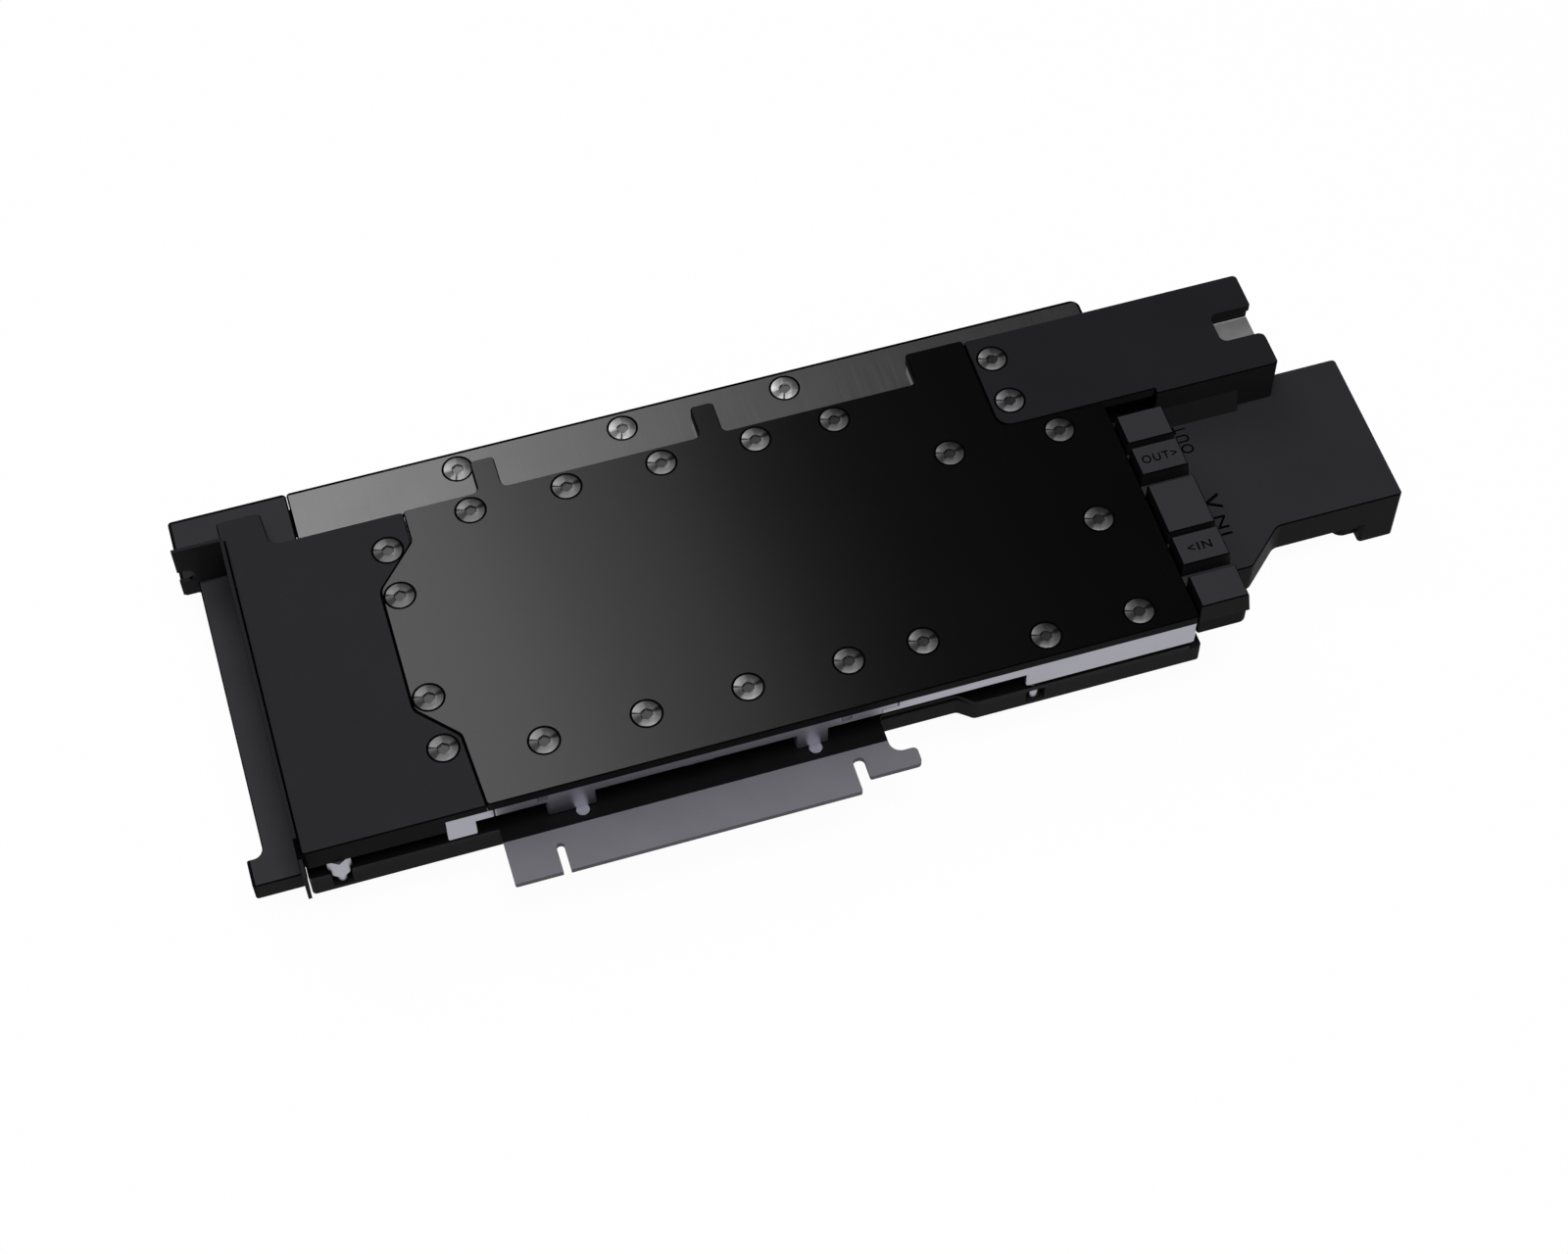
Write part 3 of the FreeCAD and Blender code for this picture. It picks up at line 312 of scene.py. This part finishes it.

# %% [markdown]
# The covers, the terminal and the manifold carry a fine matt coat. Up close such a coat is a skin of tiny
# lumps, which breaks up every reflection. Two noises give it: one at the grain's size for the bump, one
# slow one for the faint unevenness in tone that any sprayed or anodised part has. Walls, ends and broken
# edges take the light differently, so their light and shade is painted at another level, most of them darker,
# and bands along outer edges get a painted dark shade too. The masks set those apart.

# %% Matt coat
def matt_coat(name, level, painted_wall_level, painted_end_shade=None, roughness=0.55, shade_bands=()):
    """A matt coat from the picture levels of its level faces, the painted light of its walls and, if given,
    the painted shade of its ends.
    """
    f = Finish(name, specular_ior_level=0.02)
    grain = f.noise(size=0.45, detail=2.0)
    patch = f.noise(size=22.0, detail=3.0)
    blotch = patch * 0.6 + grain * 0.4
    # Walls get a painted level of light or shade of their own.
    colour = f.blend(facing(f, "Z") < wall_below, mottled(f, blotch, level, cool), mottled(f, blotch, painted_wall_level))
    # End faces get a painted dark shade.
    if painted_end_shade is not None:
        along = f.node("ShaderNodeMath", {"operation": "ABSOLUTE"}, [facing(f, "X")])
        colour = f.blend(along > end_from, colour, shade(painted_end_shade))
    # Broken edges and screw seats get a painted dark shade.
    colour = f.blend(rim(f), colour, shade(6))
    # Bands along the outer edges get a painted dark shade.
    if shade_bands:
        colour = f.blend(beyond(f, shade_bands), colour, shade(8))
    f.feed("Base Color", colour)
    f.feed("Roughness", roughness - 0.04 + patch * 0.08)
    f.bump(grain, strength=0.22, reach=0.03)
    return f.done()


terminal_coat = matt_coat("terminal_coat", level=58, painted_wall_level=38, painted_end_shade=5)
power_coat = matt_coat("power_cover_coat", level=38, painted_wall_level=42, painted_end_shade=8, roughness=0.58)

# %% [markdown]
# Nickel plating on machined copper keeps the cutter's marks as fine parallel lines. Stretching a noise along
# the cut gives those lines, and because the metal is bright the lines show through roughness more than
# through colour. The long strip is a sheet with the same look, and its broken and outer edges carry a painted
# dark shade band.

# %% Plated and machined metals
def lined_metal(name, level, roughness, lines, tint=cool, shade_bands=()):
    """Bare metal with fine lines: the noise is stretched along the axis with the smallest number."""
    f = Finish(name, metallic=1.0)
    stretched = f.node("ShaderNodeVectorMath", {"operation": "MULTIPLY"}, [f.spot, lines])
    marks = f.noise(size=0.5, detail=3.0, spot=stretched)
    patch = f.noise(size=16.0, detail=2.0)
    colour = mottled(f, patch * 0.5 + marks * 0.5, level, tint, (0.92, 1.06))
    # Broken edges and bands along the outer edges get a painted dark shade.
    if shade_bands:
        colour = f.blend(rim(f), colour, shade(12))
        colour = f.blend(beyond(f, shade_bands), colour, shade(6))
    f.feed("Base Color", colour)
    f.feed("Roughness", roughness - 0.05 + marks * 0.1)
    f.bump(marks, strength=0.1, reach=0.015)
    return f.done()


nickel = lined_metal("nickel_plate", level=162, roughness=0.3, lines=(0.02, 1.0, 3.0))

# %% [markdown]
# A turned screw head shows rings, and rings throw the light into bright and dark wedges. The rings are too
# fine to model, so a sine of the distance from the axis drives a bump, and a ramp round the axis paints the
# wedges of light and shade into the colour. Each screw's mesh keeps the offset of every point from its own
# axis as an attribute, so both follow every head wherever it sits. A second attribute sets a painted
# brightness for a whole head, the sockets get a painted shade, and a dark ring at the rim is painted shade.

# %% Turned steel
# The wedges are painted light and shade on the heads.
# turning angle in degrees and picture level: the wedges, set against the picture
plate_light_wedges = ((0, 134), (12, 60), (20, 62), (32, 124), (78, 112), (88, 130), (98, 164), (150, 168),
                (160, 148), (163, 46), (169, 46), (172, 128), (181, 96), (202, 66), (222, 76), (232, 134),
                (290, 142), (330, 168), (350, 154))
strip_light_wedges = ((0, 168), (66, 160), (84, 166), (90, 218), (170, 222), (182, 192), (192, 118), (222, 122),
                (232, 192), (248, 206), (252, 80), (258, 80), (262, 212), (334, 226), (346, 182))
socket_reach = 1.42
rim_from = 3.5
ring_turn = 36.0
left_sockets_end = 74.8
border_lean = 0.03


def turned_steel(name, light_wedges, left_socket, right_socket):
    """Turned steel from its painted wedges of light and shade and from the painted shade of the sockets left
    and right along the plate.
    """
    f = Finish(name, metallic=1.0)
    # A painted brightness for each whole head.
    painted_brightness = f.node("ShaderNodeAttribute", {"attribute_name": "painted_brightness"}, {}, "Fac")
    offset = f.node("ShaderNodeAttribute", {"attribute_name": "from_axis"}, {}, "Vector")
    radius = f.node("ShaderNodeVectorMath", {"operation": "LENGTH"}, [offset], "Value")
    angle = f.node("ShaderNodeMath", {"operation": "ARCTAN2"}, [f.part("Y", offset), f.part("X", offset)])
    grain = f.noise(size=0.3, detail=2.0)
    turn = f.node("ShaderNodeMath", {"operation": "FRACT"}, [angle * (0.5 / math.pi) + 1.0 + grain * 0.02])
    # Painted wedges of light and shade round the axis.
    painted_wedge = f.ramp(turn, [(degrees / 360, shade(level)) for degrees, level in light_wedges])
    rings = f.node("ShaderNodeMath", {"operation": "SINE"}, [(radius + grain * 0.06) * ring_turn])
    in_rim = radius > rim_from
    # the border between left and right leans a little, so that it passes between two heads
    right = f.part("X") - border_lean * f.part("Y") > mm(left_sockets_end)
    # The sockets get a painted shade, set apart left and right along the plate.
    socket_shade = f.blend(right, shade(left_socket), shade(right_socket))
    # The painted brightness fades the wedges towards a dark shade.
    head = f.blend(radius < socket_reach, f.blend(painted_brightness, shade(30), painted_wedge), socket_shade)
    # A painted dark ring at the rim stands for the shade of the seat.
    f.feed("Base Color", f.blend(in_rim, head, shade(12)))
    f.feed("Roughness", 0.32 + grain * 0.12 + in_rim * 0.4)
    f.bump(rings * 0.3 + grain * 0.3, strength=0.4, reach=0.02)
    return f.done()


screw_steel = turned_steel("turned_steel", plate_light_wedges, left_socket=84, right_socket=70)
strip_steel = turned_steel("turned_strip_steel", strip_light_wedges, left_socket=125, right_socket=125)

# %% [markdown]
# The screws under the board and inside the bracket are ordinary plated ones. Nobody turns them to the light,
# so they need no wedges: a grain in colour and roughness is enough to keep them from looking like plastic.

# %% Small screws' steel
def plain_steel():
    f = Finish("plain_steel", metallic=1.0)
    grain = f.noise(size=0.5, detail=3.0)
    f.feed("Base Color", f.blend(grain, shade(96), shade(132)))
    f.feed("Roughness", 0.34 + grain * 0.12)
    f.bump(grain, strength=0.15, reach=0.02)
    return f.done()


small_screw_steel = plain_steel()

# %% [markdown]
# The board is laminate under a dark solder mask, and its edge that goes into the slot is a lighter bare
# strip. The border is a straight line on the real board, so one comparison on the Y coordinate splits the
# two colours. A fine noise in the bump stands for the glass cloth that shows through.

# %% Board
contact_strip_top = 11.6


def board_laminate():
    f = Finish("board_laminate", specular_ior_level=0.05)
    strip = f.part("Y") < mm(contact_strip_top)
    weave = f.noise(size=0.8, detail=2.0)
    patch = f.noise(size=12.0, detail=3.0)
    mask = f.blend(patch, shade(13, cool), shade(19, cool))
    bare = f.blend(patch, shade(117, cool), shade(129, cool))
    f.feed("Base Color", f.blend(strip, mask, bare))
    f.feed("Roughness", 0.42 + patch * 0.1 + strip * 0.08)
    f.bump(weave, strength=0.15, reach=0.02)
    return f.done()


board = board_laminate()

# %% [markdown]
# Rubber, pads and chip packages sit inside or in shadow. They still get real finishes, because other views
# look in from the ends. They share one soft recipe with its own colour and grain for each.

# %% Soft and moulded parts
def moulded(name, colour_low, colour_high, roughness, grain_size):
    f = Finish(name, specular_ior_level=0.4)
    grain = f.noise(size=grain_size, detail=3.0)
    f.feed("Base Color", f.blend(grain, colour_low, colour_high))
    f.feed("Roughness", roughness + grain * 0.08)
    f.bump(grain, strength=0.3, reach=0.05)
    return f.done()


seal_rubber = moulded("seal_rubber", shade(22), shade(30), roughness=0.7, grain_size=0.6)
pad_soft = moulded("thermal_pad", (0.17, 0.2, 0.28, 1), (0.2, 0.23, 0.32, 1), roughness=0.8, grain_size=1.0)

# %% [markdown]
# The power socket is a dark moulding, but its tongue under the latch notch is pale and catches the eye. It
# is one solid in the CAD model, so two comparisons on the coordinates find the tongue, and a slow noise lets
# its pale colour drift as it does in the picture.

# %% Power socket
tongue_from = 195.3
tongue_above = 7.0


def socket_moulding():
    f = Finish("socket_moulding", specular_ior_level=0.2)
    grain = f.noise(size=0.5, detail=3.0)
    drift = f.noise(size=5.0, detail=1.0)
    tongue = (f.part("X") > mm(tongue_from)) * (f.part("Z") > mm(tongue_above))
    dark = f.blend(grain, shade(22), shade(28))
    pale = f.blend(drift, shade(104), shade(142))
    f.feed("Base Color", f.blend(tongue, dark, pale))
    f.feed("Roughness", 0.45 + grain * 0.08)
    f.bump(grain, strength=0.3, reach=0.05)
    return f.done()


socket_finish = socket_moulding()

# %% [markdown]
# Now each CAD node gets its finish. A node's object keeps its mesh and place, and only its material slots
# change. The table reads as a parts list, so a missing node is easy to see, and the script stops if one has
# no finish.

# %% Assign the finishes
finishes = {
    "circuit_board": board,
    "processor": moulded("package", shade(60), shade(74), roughness=0.4, grain_size=1.5),
    "power_stages": moulded("chip_moulding", shade(30), shade(40), roughness=0.55, grain_size=0.4),
    "power_pads": pad_soft,
    "power_chokes": moulded("choke_powder", shade(68), shade(86), roughness=0.6, grain_size=0.5),
    "choke_pads": pad_soft,
    "cold_plate": nickel,
    "main_seal": seal_rubber,
    "top_plate": plate_coat,
    "top_plate_screws": screw_steel,
    "side_rail": lined_metal("rail_grey", level=172, roughness=0.5, lines=(0.1, 1.0, 1.0)),
    "rail_posts": nickel,
    "edge_studs": nickel,
    "bracket_end_cover": matt_coat("end_cover_coat", level=48, painted_wall_level=27, roughness=0.6),
    "end_cover_screws": screw_steel,
    "power_cover": power_coat,
    "power_cover_screws": screw_steel,
    "power_socket": socket_finish,
    "terminal_cap": terminal_coat,
    "terminal_base": matt_coat("terminal_base_coat", level=34, painted_wall_level=27, painted_end_shade=8),
    "terminal_seals": seal_rubber,
    "manifold": matt_coat("manifold_coat", level=51, painted_wall_level=32, roughness=0.5),
    "manifold_seals": seal_rubber,
    "backplate": matt_coat("backplate_coat", level=36, painted_wall_level=38, roughness=0.5),
    "stack_screws": small_screw_steel,
    "manifold_screws": small_screw_steel,
    "terminal_clamp_screws": small_screw_steel,
    "edge_strip": lined_metal("strip_satin", level=118, roughness=0.33, lines=(1.0, 0.02, 1.0),
                              tint=(1, 1, 1.01), shade_bands=strip_shade_bands),
    "edge_strip_screws": strip_steel,
    "bracket_side_plate": matt_coat("side_plate_coat", level=60, painted_wall_level=40, shade_bands=side_plate_shade_bands),
    "io_bracket": matt_coat("bracket_coat", level=40, painted_wall_level=36, roughness=0.45),
    "bracket_screws": small_screw_steel,
}
for node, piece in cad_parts.items():
    piece.data.materials.clear()
    piece.data.materials.append(finishes[node])
print("finished nodes", len(finishes))

# %% [markdown]
# The next pieces are shaped in edit mode, as by hand, but with no mouse to pick a face. So one helper selects
# faces or edges by a test on their middle, another makes an object the active one, and a third pulls a face
# down and scales it, which is how a turned part grows from its head to its point.

# %% Tools for shaping in edit mode
def pick(piece, kind, test):
    """In edit mode, select only the faces or edges that pass a test on their middle."""
    bpy.ops.mesh.select_mode(type="FACE" if kind == "faces" else "EDGE")
    bpy.ops.mesh.select_all(action="DESELECT")
    work = bmesh.from_edit_mesh(piece.data)
    for part in getattr(work, kind):
        middle = sum((v.co for v in part.verts), Vector()) / len(part.verts)
        if test(middle):
            part.select_set(True)
    bmesh.update_edit_mesh(piece.data)


def only(piece):
    """Make one object the selected and active one."""
    bpy.ops.object.select_all(action="DESELECT")
    piece.select_set(True)
    bpy.context.view_layer.objects.active = piece


def grow(piece, test, drop, scale):
    """In edit mode, pull the faces that pass a test down by a length and scale them about the Z axis."""
    pick(piece, "faces", test)
    bpy.ops.mesh.extrude_region_move(TRANSFORM_OT_translate={"value": (0, 0, -mm(drop))})
    bpy.ops.transform.resize(value=(scale, scale, 1), center_override=(0, 0, 0))


smooth_below = math.radians(30)
print("shaping tools ready")

# %% [markdown]
# The countersunk screws are the picture's brightest small things. A CAD head is a bare cone with a socket,
# while a real one has a broken rim, a chamfered socket and turning rings. So one screw is modelled from a
# cylinder: its foot is extruded to the cone, the shank and the point, a hexagonal cutter sinks the socket,
# and bevels break the edges. Last, each point's offset from the axis is kept for the rings.

# %% Screw that is copied
head_radius = 3.7
head_rim = 0.25
head_height = 1.9
shank_radius = 1.6
screw_length = 5.4
point_length = 0.4
point_share = 0.75
socket_flats = 2.6
socket_corner = socket_flats / math.sqrt(3)
socket_depth = 0.5
rim_bevel = 0.16
socket_bevel = 0.14
at_face = -0.01
at_foot = 0.99


def screw_blank():
    """The screw with no socket, with its face at Z = 0."""
    bpy.ops.mesh.primitive_cylinder_add(vertices=64, radius=mm(head_radius), depth=mm(head_rim),
                                        location=(0, 0, -mm(head_rim) / 2))
    blank = bpy.context.object
    bpy.ops.object.transform_apply(location=True, rotation=True, scale=True)
    bpy.ops.object.mode_set(mode="EDIT")
    # each stretch: the depth it starts at, how far it is pulled down, and how the foot is scaled
    for depth, drop, scale in ((head_rim, head_height - head_rim, shank_radius / head_radius),
                               (head_height, screw_length - head_height - point_length, 1.0),
                               (screw_length - point_length, point_length, point_share)):
        grow(blank, lambda middle: middle.z < -mm(depth) * at_foot, drop, scale)
    pick(blank, "edges", lambda middle: middle.z > mm(at_face))
    bpy.ops.mesh.bevel(offset=mm(rim_bevel), segments=2)
    bpy.ops.object.mode_set(mode="OBJECT")
    return blank


def sink_socket(blank):
    """Sink the hexagonal socket and break its edge."""
    bpy.ops.mesh.primitive_cylinder_add(vertices=6, radius=mm(socket_corner), depth=mm(socket_depth * 2),
                                        location=(0, 0, 0))
    cutter = bpy.context.object
    sink = blank.modifiers.new("socket", "BOOLEAN")
    sink.object = cutter
    sink.operation = "DIFFERENCE"
    only(blank)
    bpy.ops.object.modifier_apply(modifier=sink.name)
    bpy.data.objects.remove(cutter)
    bpy.ops.object.mode_set(mode="EDIT")
    pick(blank, "edges", lambda middle: middle.z > mm(at_face) and middle.length < mm(socket_corner))
    bpy.ops.mesh.bevel(offset=mm(socket_bevel), segments=1)
    bpy.ops.object.mode_set(mode="OBJECT")
    bpy.ops.object.shade_smooth_by_angle(angle=smooth_below)


screw = screw_blank()
sink_socket(screw)
screw.data.attributes.new("painted_brightness", "FLOAT", "POINT")
offsets = screw.data.attributes.new("from_axis", "FLOAT_VECTOR", "POINT")
for i, vertex in enumerate(screw.data.vertices):
    offsets.data[i].vector = (vertex.co.x * 1000, vertex.co.y * 1000, 0)
print("screw faces", len(screw.data.polygons))

# %% [markdown]
# The copies go where the CAD heads are. A node holds several screws in one mesh of loose triangles, so its
# corners are merged in a copy, and each connected part gives one box: the middle of its top is the seat.

# %% Seats of the screws
merge_distance = 0.001


def loose_parts(node):
    """The lowest and highest corner of each separate solid in a CAD node."""
    work = bmesh.new()
    work.from_mesh(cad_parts[node].data)
    bmesh.ops.remove_doubles(work, verts=work.verts, dist=mm(merge_distance))
    left = set(work.verts)
    boxes = []
    while left:
        front = [left.pop()]
        found = list(front)
        while front:
            for edge in front.pop().link_edges:
                for vertex in edge.verts:
                    if vertex in left:
                        left.remove(vertex)
                        front.append(vertex)
                        found.append(vertex)
        low = Vector([min(v.co[k] for v in found) for k in range(3)])
        high = Vector([max(v.co[k] for v in found) for k in range(3)])
        boxes.append((low, high))
    work.free()
    return sorted(boxes, key=lambda corners: tuple(corners[0]))


print("seats in the top plate", len(loose_parts("top_plate_screws")))

# %% [markdown]
# The light falls off along the plate, yet in the picture the heads keep an even brightness and then step
# down twice. More lamps could do that, but they would also change the plate. So a head's brightness is
# painted
# into its colour: it rises evenly with its place along the plate, times a share for each of the three groups.

# %% Heads in their seats
second_group_from = mm(76.5)
third_group_from = mm(110)
group_shares = (1.0, 0.59, 0.47)
plate_painted_brightness = 0.63
plate_rise = 5.0
strip_painted_brightness = 0.5
strip_rise = 5.6


def painted_head_brightness(node, along):
    """A head's painted brightness, from its node and its place along the plate in metres."""
    if node == "power_cover_screws":
        return 1.0
    if node == "edge_strip_screws":
        return strip_painted_brightness + strip_rise * along
    group = (along >= second_group_from) + (along >= third_group_from)
    return min(1.0, (plate_painted_brightness + plate_rise * along) * group_shares[group])


def seat_screws(node):
    """Copies of the screw on every place of a CAD node, joined into one piece that stands for it."""
    copies = []
    for low, high in loose_parts(node):
        copy = screw.copy()
        copy.data = screw.data.copy()
        seat = Vector(((low.x + high.x) / 2, (low.y + high.y) / 2, high.z))
        copy.data.transform(Matrix.Translation(seat))
        # Each head gets its painted brightness.
        for value in copy.data.attributes["painted_brightness"].data:
            value.value = painted_head_brightness(node, seat.x)
        bpy.context.collection.objects.link(copy)
        copies.append(copy)
    only(copies[0])
    for copy in copies:
        copy.select_set(True)
    bpy.ops.object.join()
    piece = bpy.context.object
    piece.name = node.rstrip("s") + "_set"
    piece.data.materials.clear()
    piece.data.materials.append(finishes[node])
    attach(piece, "root")
    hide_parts(node)
    print(node, "copies", len(copies), "faces", len(piece.data.polygons))


for node in ("top_plate_screws", "end_cover_screws", "power_cover_screws", "edge_strip_screws"):
    seat_screws(node)
bpy.data.objects.remove(screw)

# %% [markdown]
# The latch notch in the power cover has a cheek on each side that reaches down to the tongue of the socket.
# They are thin walls, so each is a cube of the wall's size with its four upright edges rounded by a bevel.
# Their height and the place of their right end are taken from the cover's own box, so they follow the CAD
# part.

# %% Cheeks of the latch notch
notch_near = 92.48
notch_far = 101.72
cheek_thickness = 0.88
cheek_length = 10.4
cheek_foot = 7.95
cheek_bevel = 0.25
end_wall = 0.75
roof_thickness = 2.3


def cheek(name, near):
    """A thin wall under the cover's roof, whose near face is at a Y value in millimetres."""
    cover_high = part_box("power_cover")[1]
    right = cover_high.x - mm(end_wall)
    roof = cover_high.z - mm(roof_thickness)
    size = Vector((mm(cheek_length), mm(cheek_thickness), roof - mm(cheek_foot)))
    middle = Vector((right - size.x / 2, mm(near) + size.y / 2, roof - size.z / 2))
    bpy.ops.object.select_all(action="DESELECT")
    bpy.ops.mesh.primitive_cube_add(size=1, location=middle, scale=size)
    piece = bpy.context.object
    bpy.ops.object.transform_apply(location=True, rotation=True, scale=True)
    bpy.ops.object.mode_set(mode="EDIT")
    pick(piece, "edges", lambda at: abs(at.z - middle.z) < size.z / 4)
    bpy.ops.mesh.bevel(offset=mm(cheek_bevel), segments=2)
    bpy.ops.object.mode_set(mode="OBJECT")
    bpy.ops.object.shade_smooth_by_angle(angle=smooth_below)
    piece.name = name
    piece.data.materials.append(power_coat)
    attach(piece, "root")
    print(name, "faces", len(piece.data.polygons))


cheek("latch_cheek_far", notch_far)
cheek("latch_cheek_near", notch_near - cheek_thickness)

# %% [markdown]
# The terminal and the manifold say which way the coolant runs, in thin cut letters. They are cut so shallow
# that a raised skin of dark letters looks the same and needs no boolean. Blender's own font is close to the
# real one. Each word becomes a mesh first, and is then stretched to its measured size and laid on its face.

# %% Port words
letter_dark = matt_coat("letter_dark", level=3, painted_wall_level=3, roughness=0.8)
letter_rise = 0.01
letter_skin = 0.015
letter_weight = 0.05
letter_spacing = 1.2
size_for_capitals = 1.4


def word(name, text, width, height, centre, turn):
    """A word of a given size in millimetres, centred on a point of an upward face."""
    bpy.ops.object.select_all(action="DESELECT")
    bpy.ops.object.text_add(location=(0, 0, 0))
    piece = bpy.context.object
    piece.data.body = text
    piece.data.extrude = mm(letter_skin)
    piece.data.offset = mm(letter_weight)
    piece.data.size = mm(height) * size_for_capitals
    piece.data.space_character = letter_spacing
    bpy.ops.object.convert(target="MESH")
    piece = bpy.context.object
    points = [v.co for v in piece.data.vertices]
    low = Vector([min(p[k] for p in points) for k in range(3)])
    high = Vector([max(p[k] for p in points) for k in range(3)])
    size = high - low
    fit = Matrix.Diagonal((mm(width) / size.x, mm(height) / size.y, 1, 1))
    centring = Matrix.Translation(-(low + high) / 2)
    turned = Matrix.Rotation(math.radians(turn), 4, "Z")
    piece.data.transform(Matrix.Translation(centre) @ turned @ fit @ centring)
    piece.name = name
    piece.data.materials.clear()
    piece.data.materials.append(letter_dark)
    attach(piece, "root")
    print(name, "faces", len(piece.data.polygons))


# name, text, width, height, place along and across the plate, the node it lies on, turn in degrees
port_words = (
    ("terminal_out_word", "OUT>", 9.2, 2.4, 168.9, 60.6, "terminal_cap", 0),
    ("terminal_in_word", "<IN", 6.2, 2.4, 168.6, 32.4, "terminal_cap", 0),
    ("manifold_in_word", "IN", 6.0, 3.0, 182.9, 47.6, "manifold", 90),
    ("manifold_in_arrow", "<", 4.0, 4.9, 183.0, 55.1, "manifold", 0),
    ("manifold_out_word", "OUT", 8.8, 3.3, 182.9, 75.6, "manifold", 90),
)
for name, text, width, height, x, y, node, turn in port_words:
    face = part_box(node)[1].z
    word(name, text, width, height, Vector((mm(x), mm(y), face + mm(letter_rise))), turn)

# %% [markdown]
# The floor is a wide pale sheet just under the lowest foot. A studio would light the background apart from
# the object. Here the floor glows a little instead, for the camera and in mirrored and clear surfaces, so it
# looks near white with modest lamps, while the object's shadow still shows on it.

# %% Floor
floor_width = 12
floor_gap = 0.05
floor_grey = 0.55
glow_strength = 1.04
glow_share = 0.93


def floor_paint():
    f = Finish("pale_floor", base_color=(floor_grey, floor_grey, floor_grey, 1), roughness=0.9,
               specular_ior_level=0.1)
    glow = f.node("ShaderNodeEmission", {}, {"Color": (1, 1, 1, 1), "Strength": glow_strength})
    seen = f.node("ShaderNodeLightPath", {}, {}, "Is Camera Ray")
    for ray in ("Is Glossy Ray", "Is Transmission Ray"):
        seen = seen.math("MAXIMUM", seen, f.node("ShaderNodeLightPath", {}, {}, ray))
    f.cover(seen * glow_share, glow)
    return f.done()


middle = (cad_low + cad_high) / 2
bpy.ops.mesh.primitive_plane_add(size=floor_width, location=(middle.x, middle.y, cad_low.z - mm(floor_gap)))
floor = bpy.context.object
floor.name = "studio_floor"
floor.data.materials.append(floor_paint())

# %% [markdown]
# The lamps are large and soft. Behind the left end hang two softboxes side by side, a wide bright one and a
# narrow dim one, rolled a little together. The top plate mirrors the place where they end, and that makes
# its gradient from grey to black. A third fills from the front and a fourth lights from above. A faint light
# from all round keeps the shaded walls from going fully black.

# %% Lamps
rear = middle + Vector((-0.42, 0.85, 1.15))
front = middle + Vector((0.1, -1.2, 0.9))
above = middle + Vector((0.03, -0.35, 1.7))
rear_height = 0.9
bright_width = 0.9
dim_width = 0.16
rear_roll = -8
air_level = 0.025


def softbox(name, spot, width, height, level, roll=0.0, along=0.0):
    """A lamp aimed at the object, whose face has a given brightness, where 1 is a white wall."""
    bpy.ops.object.light_add(type="AREA", location=spot)
    lamp = bpy.context.object
    lamp.name = name
    lamp.data.shape = "RECTANGLE"
    lamp.data.size = width
    lamp.data.size_y = height
    lamp.data.energy = level * width * height * math.pi
    lamp.rotation_mode = "QUATERNION"
    turned = (middle - spot).to_track_quat("-Z", "Y") @ Quaternion((0, 0, 1), math.radians(roll))
    lamp.rotation_quaternion = turned
    lamp.location = spot + turned @ Vector((along, 0, 0))
    print(name, "watts", round(lamp.data.energy, 2))


softbox("rear_softbox", rear, bright_width, rear_height, level=2.0, roll=rear_roll)
softbox("rear_dim_softbox", rear, dim_width, rear_height, level=0.85, roll=rear_roll,
        along=-(bright_width + dim_width) / 2)
softbox("front_softbox", front, width=1.4, height=0.7, level=0.4)
softbox("top_softbox", above, width=1.0, height=1.0, level=6.0)
world = bpy.data.worlds.new("studio_air")
world.use_nodes = True
world.node_tree.nodes["Background"].inputs["Color"].default_value = (air_level, air_level, air_level, 1)
scene.world = world
scene.view_settings.view_transform = "Standard"
